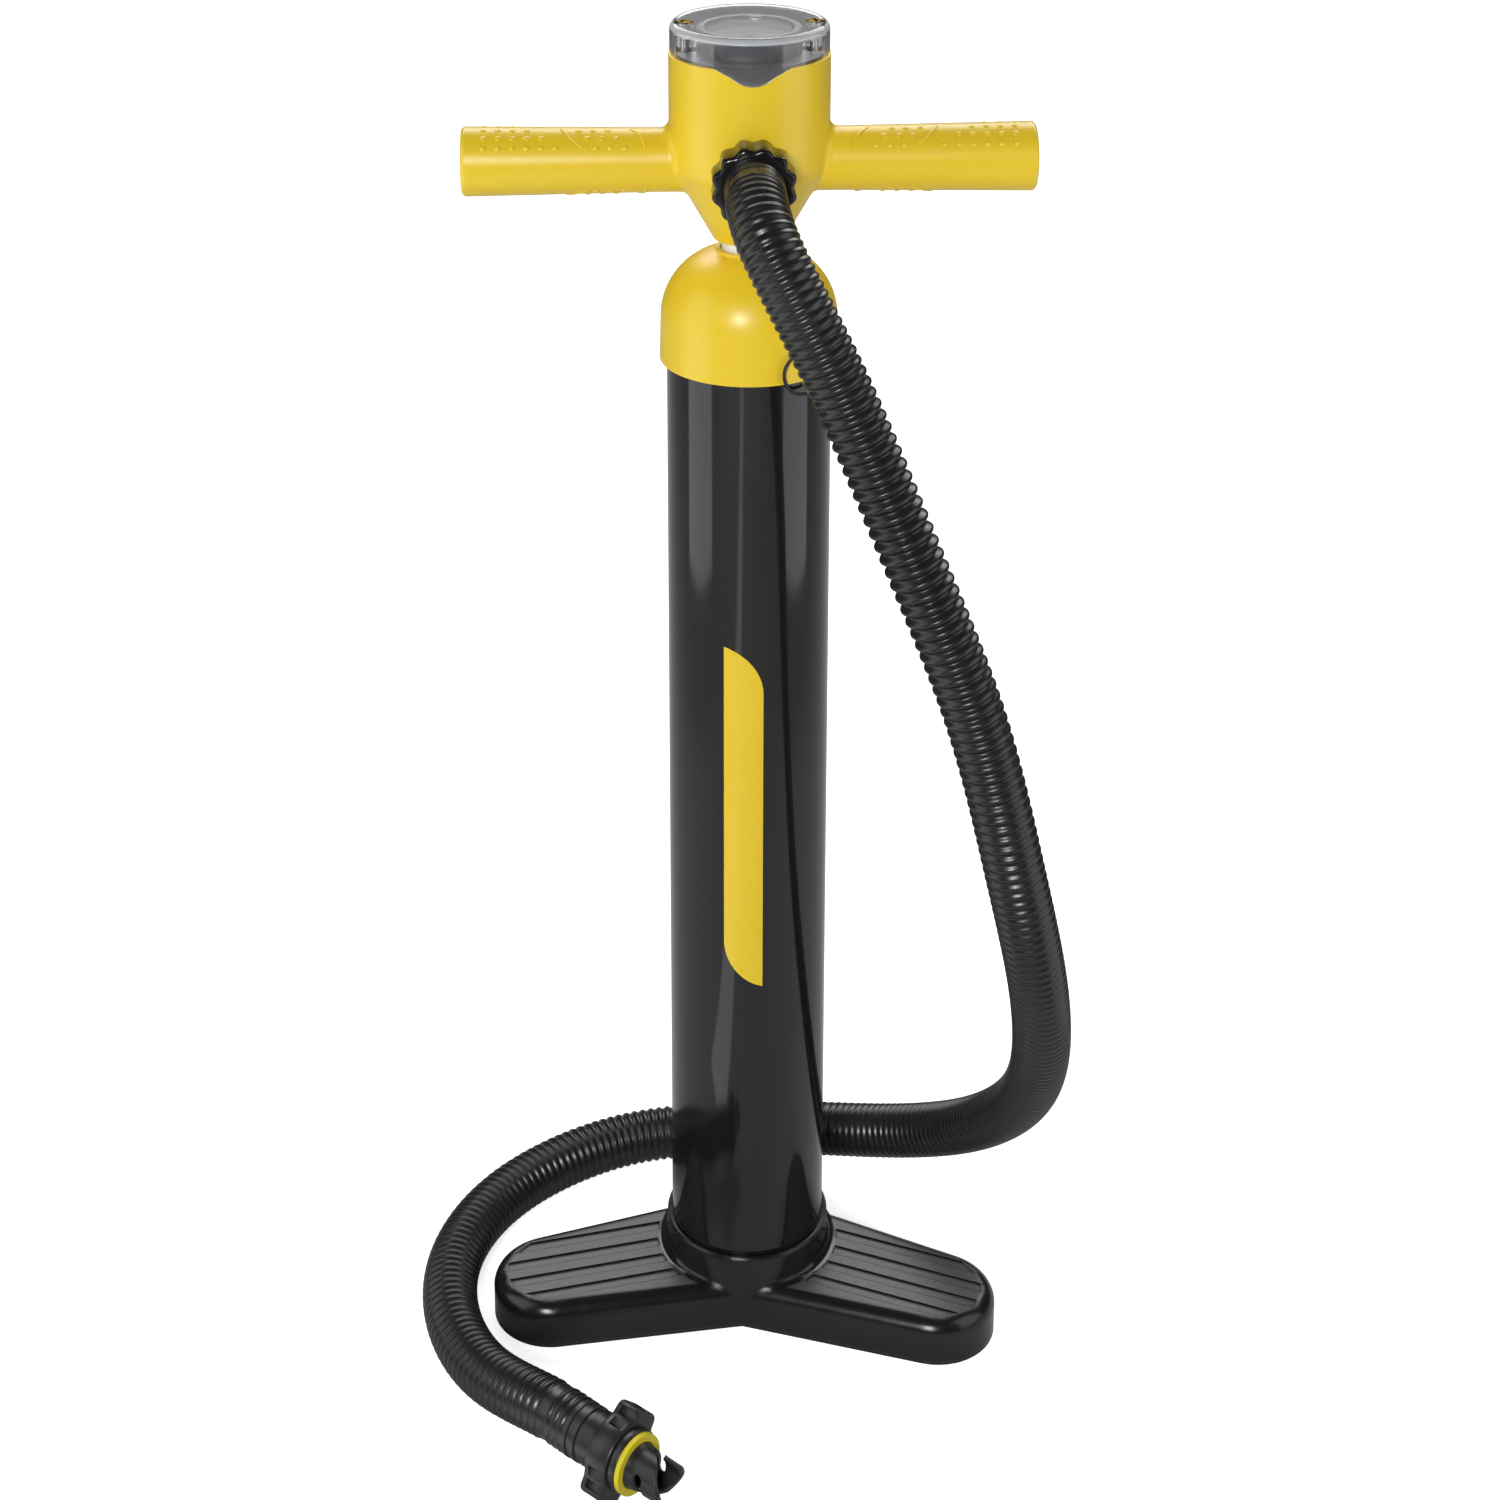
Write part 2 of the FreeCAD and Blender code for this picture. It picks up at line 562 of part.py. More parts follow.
def make_cap():
    """The domed cap, the rod's guide and seal, and the plug that picks single or double action."""
    skirt_bore = "tube_radius + press_gap"
    dome_end = "dome_base + sqrt(dome_radius^2 - (lip_radius - dome_base_radius + dome_radius)^2)"
    cap = turned("top_cap", [
        (skirt_bore, "cap_bottom"), ("cap_radius", "cap_bottom"),
        ("dome_base_radius", "dome_base", "dome_radius", 1), ("lip_radius", dome_end),
        ("lip_radius", "lip_top"), ("rod_radius + 0.6", "lip_top"),
        ("rod_radius + 0.6", "guide_top"), ("guide_radius", "guide_top"),
        ("guide_radius", "guide_bottom"), ("guide_radius + 3.5", "guide_bottom"),
        ("guide_radius + 3.5", "guide_top - 6"), ("guide_radius + 8.5", "guide_top - 7.5"),
        ("bore_radius", "guide_bottom"), ("bore_radius", "tube_top + 2"),
        (skirt_bore, "tube_top + 2")])
    document.recompute()
    hole = cap.newObject("PartDesign::SubtractiveCylinder", "selector_hole")
    hole.Radius = value("selector_radius + press_gap")
    hole.Height = value("cap_radius")
    hole.setExpression("Radius", bound("selector_radius + press_gap"))
    hole.setExpression("Height", bound("cap_radius"))
    hole.AttachmentOffset = FreeCAD.Placement(
        FreeCAD.Vector(0, 0, value("selector_height")),
        FreeCAD.Rotation(value("selector_angle"), 90, 0))
    hole.AttachmentSupport = (origin_plane(cap, "XY_Plane"), [""])
    hole.MapMode = "FlatFace"

    ring("rod_guide", "rod_radius + running_gap", "guide_radius - press_gap",
         "guide_bottom", "guide_top - 0.1")
    ring("rod_seal", "rod_radius + running_gap", "guide_radius + 3",
         "guide_bottom - 5.4", "guide_bottom - 0.1")
    ring("seal_retainer", "rod_radius + 0.3", "bore_radius - 9",
         "guide_bottom - 8.4", "guide_bottom - 5.5")

    selector = turned("selector_plug", [
        ("0", "bore_radius + 1"), ("selector_radius - 0.6", "bore_radius + 1"),
        ("selector_radius", "bore_radius + 2"), ("selector_radius", "cap_radius"),
        ("5.2", "cap_radius"), ("5.6", "cap_radius + 0.8"), ("5.2", "cap_radius + 3.4"),
        ("0", "cap_radius + 3.8")])
    place_on_selector(selector)


def make_tether():
    """The cord that keeps the selector plug on the cap: a loop that hangs beside the plug."""
    cap_radius = value("cap_radius")
    height = value("selector_height")
    middle = value("selector_angle")

    def on_skirt(turn, drop, stand_off):
        angle = math.radians(middle + turn)
        reach = cap_radius + stand_off
        return FreeCAD.Vector(reach * math.cos(angle), reach * math.sin(angle), height - drop)

    route = [on_skirt(-9, 2, 1.5), on_skirt(-16, 3, 1.6), on_skirt(-22, 9, 1.5), on_skirt(-19, 17, 1.5),
             on_skirt(-8, 21, 1.2), on_skirt(8, 18, 1.2), on_skirt(14, 10, 1.2)]
    curve = Part.BSplineCurve()
    curve.interpolate(route)
    spine = Part.Wire(curve.toShape())
    start_direction = curve.tangent(curve.FirstParameter)[0]
    section = Part.Wire(Part.makeCircle(0.75, route[0], start_direction))
    tether = document.addObject("Part::Feature", "plug_tether")
    tether.Label = "plug_tether"
    tether.Shape = spine.makePipeShell([section], True, True)
    NODES.append(tether)


# ---------------------------------------------------------------- rod and piston

def make_rod():
    """The hollow piston rod and the air tube inside it; the piston, its seals and its valve."""
    ring("piston_rod", "rod_bore", "rod_radius", "rod_foot", "rod_socket_top")
    ring("inner_air_tube", "air_tube_bore", "air_tube_radius",
         "rod_foot - 8", "rod_socket_top + socket_step")

    groove = "piston_radius - piston_land"
    piston = turned("piston_body", [
        ("piston_hole", "piston_bottom"), ("piston_radius", "piston_bottom"),
        ("piston_radius", "piston_bottom + piston_land"), (groove, "piston_bottom + piston_land"),
        (groove, "piston_bottom + 2 * piston_land"), ("piston_radius", "piston_bottom + 2 * piston_land"),
        ("piston_radius", "piston_top - 2 * piston_land"), (groove, "piston_top - 2 * piston_land"),
        (groove, "piston_top - piston_land"), ("piston_radius", "piston_top - piston_land"),
        ("piston_radius", "piston_top"), ("rod_radius + press_gap", "piston_top"),
        ("rod_radius + press_gap", "rod_foot"), ("air_tube_radius + press_gap", "rod_foot"),
        ("air_tube_radius + press_gap", "rod_foot - 8"), ("air_tube_bore", "rod_foot - 8"),
        ("air_tube_bore", "piston_bottom + piston_land"), ("piston_hole", "piston_bottom + piston_land")])
    screw_holes = empty_sketch(piston, "XY_Plane", "piston_bottom")
    add_circle(screw_holes, "piston_screw_circle", "0", "piston_screw_radius + press_gap")
    repeat_round(piston, [pocket(piston, screw_holes, "10", backwards=True)], 3)

    seal_outer = "bore_radius - running_gap"
    ring("piston_seal_lower", groove, seal_outer,
         "piston_bottom + piston_land + 0.1", "piston_bottom + 2 * piston_land - 0.1")
    ring("piston_seal_upper", groove, seal_outer,
         "piston_top - 2 * piston_land + 0.1", "piston_top - piston_land - 0.1")

    retainer_bottom = "piston_bottom - retainer_height"
    retainer = ring("valve_retainer", "retainer_hole", "retainer_radius", retainer_bottom, "piston_bottom")
    retainer_holes = empty_sketch(retainer, "XY_Plane", retainer_bottom)
    add_circle(retainer_holes, "piston_screw_circle", "0", "piston_screw_radius + press_gap")
    repeat_round(retainer, [pocket(retainer, retainer_holes, "retainer_height", backwards=True)], 3)

    screws = new_body("piston_screws")
    for radius, start, length in (("piston_screw_head", retainer_bottom + " - 2", "2"),
                                  ("piston_screw_radius", retainer_bottom, "12")):
        sketch = empty_sketch(screws, "XY_Plane", start)
        for turn in (0, 120, 240):
            add_circle(sketch, "piston_screw_circle * cos(%d)" % turn,
                       "piston_screw_circle * sin(%d)" % turn, radius)
        pad(screws, sketch, length)
    screws.AllowCompound = True

    disc("piston_valve", "12", "piston_bottom + 0.02", "piston_bottom + 1.4")
    disc("head_valve", "chamber_radius - 1", "rod_socket_top + 5.02", "rod_socket_top + 6.2")


# ---------------------------------------------------------------- head

def make_head():
    """The T handle with the gauge housing, one moulding, with its air ways."""
    body = new_body("handle_head")
    core = empty_sketch(body, "XZ_Plane")
    add_outline(core, [("0", "head_bottom"), ("head_foot_radius", "head_bottom"),
                       ("head_radius", "head_shoulder"), ("head_radius", "head_top"), ("0", "head_top")])
    revolve(body, core)
    round_edges(body, "shoulder_rounding", top_edge_at("head_shoulder"))

    bar = empty_sketch(body, "XY_Plane", "handle_height")
    add_outline(bar, [
        ("-handle_reach", "0"), ("-handle_reach", "handle_end_radius - 2", "2", -1),
        ("-handle_reach + 2", "handle_end_radius"), ("-head_radius - 6", "handle_root_radius"),
        ("head_radius + 6", "handle_root_radius"), ("handle_reach - 2", "handle_end_radius", "2", -1),
        ("handle_reach", "handle_end_radius - 2"), ("handle_reach", "0")])
    revolve(body, bar, axis="H_Axis")

    boss = empty_sketch(body, "XZ_Plane")
    add_circle(boss, "0", "port_height", "port_radius")
    pad(body, boss, "port_end")

    def joins_bar(edge):
        box = edge.BoundBox
        inner, outer = sorted((abs(box.XMin), abs(box.XMax)))
        beside_head = box.XMin * box.XMax > 0 and inner > 15 and outer < value("head_radius") + 0.7
        beside_bar = box.ZMin > value("head_bottom + 4") and box.ZMax < value("head_top - 20")
        return beside_head and beside_bar and box.YLength > 1 and box.ZLength > 0.01
    round_edges(body, "handle_rounding", joins_bar)

    inside = empty_sketch(body, "XZ_Plane")
    add_outline(inside, [
        ("0", "head_bottom - 1"), ("rod_radius + press_gap", "head_bottom - 1"),
        ("rod_radius + press_gap", "rod_socket_top"), ("air_tube_radius + press_gap", "rod_socket_top"),
        ("air_tube_radius + press_gap", "rod_socket_top + socket_step"),
        ("air_tube_bore", "rod_socket_top + socket_step"),
        ("air_tube_bore", "rod_socket_top + 5"), ("chamber_radius", "rod_socket_top + 5"),
        ("chamber_radius", "chamber_top"), ("gauge_passage", "chamber_top"),
        ("gauge_passage", "recess_floor - 8"),
        ("gauge_can_radius + 0.6", "recess_floor - 8"), ("gauge_can_radius + 0.6", "recess_floor"),
        ("recess_radius", "recess_floor"), ("recess_radius", "head_top + 1"), ("0", "head_top + 1")])
    revolve(body, inside, cut=True)

    outlet = empty_sketch(body, "XZ_Plane")
    add_circle(outlet, "0", "port_height", "port_bore")
    pocket(body, outlet, "port_end + 1", backwards=True)

    dip = empty_sketch(body, "XZ_Plane", "recess_radius - 6")
    add_outline(dip, tongue_steps("0"))
    pocket(body, dip, "15", backwards=True)

    posts = empty_sketch(body, "XY_Plane", "recess_floor - 0.5")
    add_circle(posts, "post_place", "0", "post_radius + 0.6")
    post = pad(body, posts, "head_top - recess_floor - 2")
    holes = empty_sketch(body, "XY_Plane", "recess_floor + 2")
    add_circle(holes, "post_place", "0", "lens_screw_radius + press_gap")
    hole = pocket(body, holes, "20", backwards=True)
    mirror_sideways(body, [post, hole])
    place_upright(body, "head_turn")


def tongue_steps(gap):
    """The dip in the head's front rim, and with a gap the tongue of the clear cover in it."""
    half = "(tongue_width / 2 - %s)" % gap
    bend = "((tongue_bend_width - %s) / 2)" % gap
    bend_height = "head_top - tongue_bend_drop"
    return [
        ("-" + half, "head_top + 3"), ("-" + half, "head_top + 0.4"),
        ("-" + bend, bend_height, "tongue_bend_radius", 1), (bend, bend_height),
        (half, "head_top + 0.4"), (half, "head_top + 3"),
    ]


def make_port():
    """The hose port: its seal, the flanged hose tail and the lobed nut that holds it."""
    seal = ring("port_seal", "tail_bore + 0.5", "port_radius - 1.1", "port_end", "port_end + 1.3")
    tail = turned("hose_tail", [
        ("tail_bore", "port_end + 1.3"), ("port_radius - 0.5", "port_end + 1.3"),
        ("port_radius - 0.5", "nut_end - nut_front - 0.1"), ("tail_radius", "nut_end - nut_front - 0.1"),
        ("tail_radius", "nut_end + 7"), ("tail_bore", "nut_end + 7")])
    nut = new_body("hose_nut")
    bore = "port_radius + running_gap"
    core = empty_sketch(nut, "XZ_Plane")
    add_outline(core, [
        (bore, "nut_start"), ("nut_radius", "nut_start"), ("nut_radius", "nut_end - nut_bevel"),
        ("nut_radius - nut_bevel", "nut_end"), ("nut_hole + nut_bevel", "nut_end"),
        ("nut_hole", "nut_end - nut_bevel"), ("nut_hole", "nut_end - nut_front"),
        (bore, "nut_end - nut_front")])
    revolve(nut, core)
    lobe = empty_sketch(nut, "XY_Plane", "nut_start + lobe_inset")
    add_circle(lobe, "lobe_circle", "0", "lobe_radius")
    repeat_round(nut, [pad(nut, lobe, "nut_end - nut_start - 2 * lobe_inset")], 12)
    clear = empty_sketch(nut, "XZ_Plane")
    add_outline(clear, [("0", "nut_start - 1"), (bore, "nut_start - 1"), (bore, "nut_end - nut_front"),
                        ("0", "nut_end - nut_front")])
    revolve(nut, clear, cut=True)
    for piece in (seal, tail, nut):
        place_at_port(piece)


# ---------------------------------------------------------------- gauge

def make_gauge():
    """The pressure gauge under its clear cover."""
    pieces = []
    insert = ring("gauge_insert", "gauge_can_radius + 0.1", "insert_radius", "recess_floor", "insert_top")
    notch = empty_sketch(insert, "XY_Plane", "recess_floor")
    add_circle(notch, "post_place", "0", "post_radius + 1.4")
    mirror_sideways(insert, [pocket(insert, notch, "insert_top - recess_floor + 1", backwards=True)])
    pieces.append(insert)
    pieces.append(turned("gauge_case", [
        ("3", "recess_floor - 8"), ("gauge_can_radius", "recess_floor - 8"),
        ("gauge_can_radius", "insert_top"), ("gauge_radius", "insert_top"),
        ("gauge_radius", "gauge_top - 0.8"), ("gauge_radius - 0.8", "gauge_top"),
        ("gauge_can_radius + 0.2", "gauge_top"), ("gauge_can_radius", "gauge_top - 0.6"),
        ("gauge_can_radius - 1.2", "gauge_top - 2"), ("gauge_can_radius - 1.2", "recess_floor - 6"),
        ("3", "recess_floor - 6")]))
    pieces.append(ring("gauge_stem", "1.5", "2.95", "chamber_top + 0.5", "recess_floor - 2"))
    pieces.append(turned("gauge_capsule", [
        ("1.5", "recess_floor - 1.9"), ("12", "recess_floor - 0.4"), ("13.5", "recess_floor + 1.5"),
        ("12", "recess_floor + 3.4"), ("1.5", "recess_floor + 5")]))
    pieces.append(ring("gauge_dial", "1.2", "gauge_can_radius - 1.25", "dial_height - 0.8", "dial_height"))
    pieces.append(disc("gauge_glass", "gauge_can_radius - 1.25", "gauge_top - 2", "gauge_top - 1"))
    pieces.append(disc("needle_spindle", "0.7", "recess_floor + 5.1", "dial_height + 1.9"))

    needle = new_body("gauge_needle")
    hub = empty_sketch(needle, "XY_Plane", "dial_height + 0.9")
    add_outline(hub, [("-4.5", "-1.1"), ("2", "-1.1"), ("needle_length", "-0.25"),
                      ("needle_length", "0.25"), ("2", "1.1"), ("-4.5", "1.1")])
    pad(needle, hub, "0.5")
    boss = empty_sketch(needle, "XY_Plane", "dial_height + 0.6")
    add_circle(boss, "0", "0", "2.2")
    pad(needle, boss, "1.2")
    eye = empty_sketch(needle, "XY_Plane", "dial_height + 0.6")
    add_circle(eye, "0", "0", "0.7 + press_gap")
    pocket(needle, eye, "1.2", backwards=True)

    lens = turned("gauge_lens", [
        ("0", "lens_top - lens_wall"), ("lens_radius - lens_wall", "lens_top - lens_wall"),
        ("lens_radius - lens_wall", "head_top"), ("lens_radius", "head_top"),
        ("lens_radius", "lens_top - lens_rounding", "lens_rounding", 1),
        ("lens_radius - lens_rounding", "lens_top"), ("0", "lens_top")])
    tongue = empty_sketch(lens, "XZ_Plane", "lens_radius - lens_wall - 6")
    add_outline(tongue, tongue_steps("0.1"))
    pad(lens, tongue, "12")
    trim = empty_sketch(lens, "XZ_Plane")
    add_outline(trim, [("0", "head_top - 10"), ("lens_radius - lens_wall", "head_top - 10"),
                       ("lens_radius - lens_wall", "lens_top - lens_wall"), ("0", "lens_top - lens_wall")])
    revolve(lens, trim, cut=True)
    trim_out = empty_sketch(lens, "XZ_Plane")
    add_outline(trim_out, [("lens_radius", "head_top - 10"), ("lens_radius + 20", "head_top - 10"),
                           ("lens_radius + 20", "lens_top"), ("lens_radius", "lens_top")])
    revolve(lens, trim_out, cut=True)
    posts = empty_sketch(lens, "XY_Plane", "head_top - 1.4")
    add_circle(posts, "post_place", "0", "post_radius")
    post = pad(lens, posts, "lens_top - head_top - 0.5")
    holes = empty_sketch(lens, "XY_Plane", "head_top - 1.4")
    add_circle(holes, "post_place", "0", "lens_screw_radius + running_gap")
    hole = pocket(lens, holes, "20", backwards=True)
    sinks = empty_sketch(lens, "XY_Plane", "lens_top - 4.5")
    add_circle(sinks, "post_place", "0", "2.9")
    sink = pocket(lens, sinks, "5", backwards=True)
    mirror_sideways(lens, [post, hole, sink])
    pieces.append(lens)

    screws = new_body("lens_screws")
    for radius, start, length in (("lens_screw_radius", "recess_floor + 3", "lens_top - recess_floor - 7.5"),
                                  ("2.6", "lens_top - 4.5", "2")):
        sketch = empty_sketch(screws, "XY_Plane", start)
        add_circle(sketch, "post_place", "0", radius)
        add_circle(sketch, "-post_place", "0", radius)
        pad(screws, sketch, length)
    screws.AllowCompound = True
    pieces.append(screws)
    for piece in pieces:
        place_upright(piece, "head_turn")
    place_upright(needle, "head_turn + needle_rest")


# ---------------------------------------------------------------- hose and valve adapter

def make_hose():
    """The hose's plain envelope, from the hose nut to the cuff of the valve adapter."""
    turn = math.radians(value("head_turn"))
    out_of_port = FreeCAD.Vector(math.sin(turn), -math.cos(turn), 0)
    height = FreeCAD.Vector(0, 0, value("port_height"))
    heading = math.radians(value("adapter_heading"))
    along_adapter = FreeCAD.Vector(math.cos(heading), math.sin(heading), 0)
    adapter = FreeCAD.Vector(value("adapter_x"), value("adapter_y"), value("adapter_z"))
    start = height + out_of_port * value("nut_end + hose_gap")
    straight = height + out_of_port * value("nut_end + hose_lead")
    points = [start, straight] + [FreeCAD.Vector(*place) for place in HOSE_ROUTE]
    points += [adapter - along_adapter * value("hose_run_in"), adapter - along_adapter * value("hose_gap")]
    curve = Part.BSplineCurve()
    curve.interpolate(points)
    spine = Part.Wire(curve.toShape())
    outward = curve.tangent(curve.FirstParameter)[0]
    shells = []
    for radius in (value("hose_radius"), value("hose_bore")):
        section = Part.Wire(Part.makeCircle(radius, start, outward))
        shells.append(spine.makePipeShell([section], True, True))
    hose = document.addObject("Part::Feature", "hose")
    hose.Label = "hose"
    hose.Shape = shells[0].cut(shells[1])
    NODES.append(hose)


def make_adapter():
    """The cuff at the end of the hose and the bayonet adapter that turns in it."""
    pieces = []
    pieces.append(turned("hose_cuff", [
        ("tail_bore", "-6"), ("tail_radius", "-6"), ("tail_radius", "0"), ("cuff_radius + 0.5", "0"),
        ("cuff_radius + 0.5", "2"), ("cuff_radius - 0.2", "2.4"), ("cuff_radius - 0.2", "4.6"),
        ("cuff_radius + 0.4", "5"), ("cuff_radius + 0.4", "7"), ("cuff_radius - 0.4", "7.4"),
        ("cuff_radius - 0.4", "9.6"), ("cuff_radius + 0.2", "10"), ("cuff_radius - 0.3", "wing_start - 0.3"),
        ("tail_bore + 1.6", "wing_start - 0.3"), ("tail_bore + 1.6", "wing_end - 2"),
        ("tail_bore", "wing_end - 2")]))
    pieces.append(ring("swivel_seal", "tail_bore + 0.3", "tail_bore + 1.6",
                       "wing_end - 1.9", "wing_end - 0.4"))

    wings = new_body("wing_collar")
    outline = empty_sketch(wings, "XY_Plane", "wing_start")
    add_circle(outline, "0", "0", "wing_hub_radius")
    pad(wings, outline, "wing_end - wing_start")
    paddle = empty_sketch(wings, "XY_Plane", "wing_start + 0.4")
    half = "wing_width / 2"
    corner = "%s - wing_corner" % half
    add_outline(paddle, [
        ("-(%s)" % half, "-wing_span + wing_corner", "wing_corner", 1), ("-(%s)" % corner, "-wing_span"),
        (corner, "-wing_span", "wing_corner", 1), (half, "-wing_span + wing_corner"),
        (half, "wing_span - wing_corner", "wing_corner", 1), (corner, "wing_span"),
        ("-(%s)" % corner, "wing_span", "wing_corner", 1), ("-(%s)" % half, "wing_span - wing_corner")])
    pad(wings, paddle, "wing_end - wing_start - 0.8")
    cores = empty_sketch(wings, "YZ_Plane", "-wing_width / 2")
    for side in (1, -1):
        for inset in (6.2, 3.4):
            inner = "%d * (wing_span - %s)" % (side, inset)
            outer = "%d * (wing_span - %s + 1.6)" % (side, inset)
            add_outline(cores, [(inner, "wing_start + 3"), (outer, "wing_start + 3"),
                                (outer, "wing_end - 3"), (inner, "wing_end - 3")])
    pocket(wings, cores, "wing_core_depth", backwards=True)
    bore = empty_sketch(wings, "XY_Plane", "wing_start")
    add_circle(bore, "0", "0", "tail_bore + 1.6 + running_gap")
    pocket(wings, bore, "wing_end - wing_start + 1", backwards=True)
    pieces.append(wings)

    nozzle = turned("bayonet_nozzle", [
        ("nozzle_bore", "wing_end"), ("flange_radius", "wing_end"), ("flange_radius", "flange_end"),
        ("nozzle_radius + 0.9", "flange_end"), ("nozzle_radius", "gasket_end + 4"),
        ("nozzle_radius", "nozzle_end - 1"), ("nozzle_radius - 1", "nozzle_end"),
        ("nozzle_bore", "nozzle_end")])
    side_hole = empty_sketch(nozzle, "XZ_Plane")
    add_circle(side_hole, "0", "gasket_end + nozzle_hole_place", "nozzle_hole")
    pocket(nozzle, side_hole, "nozzle_radius + 2", backwards=True)
    slot = empty_sketch(nozzle, "YZ_Plane")
    add_outline(slot, [("-slot_half_width", "nozzle_end + 1"), ("-slot_half_width", "nozzle_end - slot_depth"),
                       ("slot_half_width", "nozzle_end - slot_depth"), ("slot_half_width", "nozzle_end + 1")])
    pocket(nozzle, slot, "nozzle_radius + 2", backwards=True)
    pieces.append(nozzle)
    pieces.append(ring("adapter_gasket", "nozzle_radius + 1", "gasket_radius", "flange_end", "gasket_end"))
    for piece in pieces:
        place_on_adapter(piece)


# ---------------------------------------------------------------- build, check and write

make_base()
make_barrel()
make_label()
make_cap()
make_tether()
make_rod()
make_head()
make_port()
make_gauge()
make_hose()
make_adapter()
document.recompute()

for item in document.Objects:
    if "Invalid" in item.State or "Error" in item.State:
        raise RuntimeError("%s (%s) failed: %s" % (item.Name, item.Label, item.State))

os.makedirs("parts", exist_ok=True)
for node in NODES:
    shape = node.Shape
    if shape.isNull() or not shape.isValid() or not shape.Solids:
        raise RuntimeError(node.Label + " has no valid solid")
    shape.exportStep("parts/%s.step" % node.Label)
    box = shape.BoundBox
    print("%-20s %9.1f mm3  %d solids  z %.1f..%.1f" % (node.Label, shape.Volume, len(shape.Solids),
                                                        box.ZMin, box.ZMax))
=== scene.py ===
import json
import math

import bpy
import bmesh
import numpy as np
from mathutils import Matrix, Vector


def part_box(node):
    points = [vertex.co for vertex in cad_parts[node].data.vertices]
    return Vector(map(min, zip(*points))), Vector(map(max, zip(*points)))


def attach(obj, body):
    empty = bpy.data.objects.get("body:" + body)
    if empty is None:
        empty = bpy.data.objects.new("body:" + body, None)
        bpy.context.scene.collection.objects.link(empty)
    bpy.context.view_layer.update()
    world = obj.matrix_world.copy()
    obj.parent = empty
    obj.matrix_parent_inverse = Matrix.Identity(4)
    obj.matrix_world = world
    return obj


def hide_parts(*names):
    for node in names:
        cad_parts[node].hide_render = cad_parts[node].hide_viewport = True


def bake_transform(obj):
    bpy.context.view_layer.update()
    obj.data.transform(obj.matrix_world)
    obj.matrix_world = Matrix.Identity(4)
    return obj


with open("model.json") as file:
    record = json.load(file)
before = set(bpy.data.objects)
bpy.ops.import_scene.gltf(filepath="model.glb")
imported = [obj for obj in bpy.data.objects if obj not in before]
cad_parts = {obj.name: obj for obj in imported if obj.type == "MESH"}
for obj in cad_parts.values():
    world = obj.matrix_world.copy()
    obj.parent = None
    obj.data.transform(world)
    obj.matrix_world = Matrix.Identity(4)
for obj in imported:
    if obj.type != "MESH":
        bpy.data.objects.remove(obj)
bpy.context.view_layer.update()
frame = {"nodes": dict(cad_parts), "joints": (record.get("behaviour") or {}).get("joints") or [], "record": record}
NODES = frame["nodes"]
MM = 0.001


# ------------------------------------------------------------------ places taken from the frame

def joint(name):
    """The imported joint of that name."""
    return next(j for j in frame["joints"] if j["name"] == name)


PORT_POS = Vector(joint("nut_turn")["pos_m"])
PORT_OUT = Vector(joint("nut_turn")["axis"]).normalized()
ADAPTER_POS = Vector(joint("adapter_twist")["pos_m"])
ADAPTER_OUT = Vector(joint("adapter_twist")["axis"]).normalized()
HEAD_TURN = math.atan2(PORT_OUT.x, -PORT_OUT.y)
HANDLE_OUT = Vector((math.cos(HEAD_TURN), math.sin(HEAD_TURN), 0))
HANDLE_HEIGHT = 566 * MM
FOOT_TREAD = 22 * MM
TREAD_START = 43 * MM


# ------------------------------------------------------------------ material helpers

def new_material(name):
    """A node material, its tree and its Principled shader."""
    material = bpy.data.materials.new(name)
    material.use_nodes = True
    tree = material.node_tree
    return material, tree, tree.nodes["Principled BSDF"]


def add_node(tree, kind, **settings):
    """A node with its inputs or properties set by name."""
    node = tree.nodes.new(kind)
    for key, setting in settings.items():
        if key in node.inputs:
            node.inputs[key].default_value = setting
        else:
            setattr(node, key.lower(), setting)
    return node


def object_place(tree):
    """The place of a point in metres, in the frame's own axes."""
    return add_node(tree, "ShaderNodeTexCoord").outputs["Object"]


def noise(tree, place, scale, detail=3.0, roughness=0.5):
    """A noise value between 0 and 1 at a scale in features per metre."""
    node = add_node(tree, "ShaderNodeTexNoise", Scale=scale, Detail=detail, Roughness=roughness)
    tree.links.new(place, node.inputs["Vector"])
    return node.outputs["Fac"]


def remap(tree, source, low, high, to_low, to_high):
    """Maps a value from one range to another, clamped."""
    node = add_node(tree, "ShaderNodeMapRange")
    for number, setting in enumerate((low, high, to_low, to_high), start=1):
        node.inputs[number].default_value = setting
    tree.links.new(source, node.inputs[0])
    return node.outputs[0]


def math_node(tree, operation, first, second):
    """A math node of two inputs, each a socket or a number."""
    node = add_node(tree, "ShaderNodeMath")
    node.operation = operation
    for number, source in enumerate((first, second)):
        if isinstance(source, (int, float)):
            node.inputs[number].default_value = source
        else:
            tree.links.new(source, node.inputs[number])
    return node.outputs[0]


def mix_colours(tree, factor, first, second):
    """Mixes two colours or colour sockets by a factor socket."""
    node = add_node(tree, "ShaderNodeMix")
    node.data_type = "RGBA"
    tree.links.new(factor, node.inputs["Factor"])
    for number, colour in ((6, first), (7, second)):
        if isinstance(colour, tuple):
            node.inputs[number].default_value = (*colour, 1.0)
        else:
            tree.links.new(colour, node.inputs[number])
    return node.outputs[2]


def bump(tree, height, distance, strength=1.0, normal=None):
    """A bump of a height socket, its distance in metres."""
    node = add_node(tree, "ShaderNodeBump", Distance=distance, Strength=strength)
    tree.links.new(height, node.inputs["Height"])
    if normal is not None:
        tree.links.new(normal, node.inputs["Normal"])
    return node.outputs["Normal"]


# Features per metre of the slow colour drift, the scuffs and the moulding grain.
DRIFT_SCALE = 14.0
SCUFF_SCALE = 160.0
GRAIN_SCALE = 2600.0


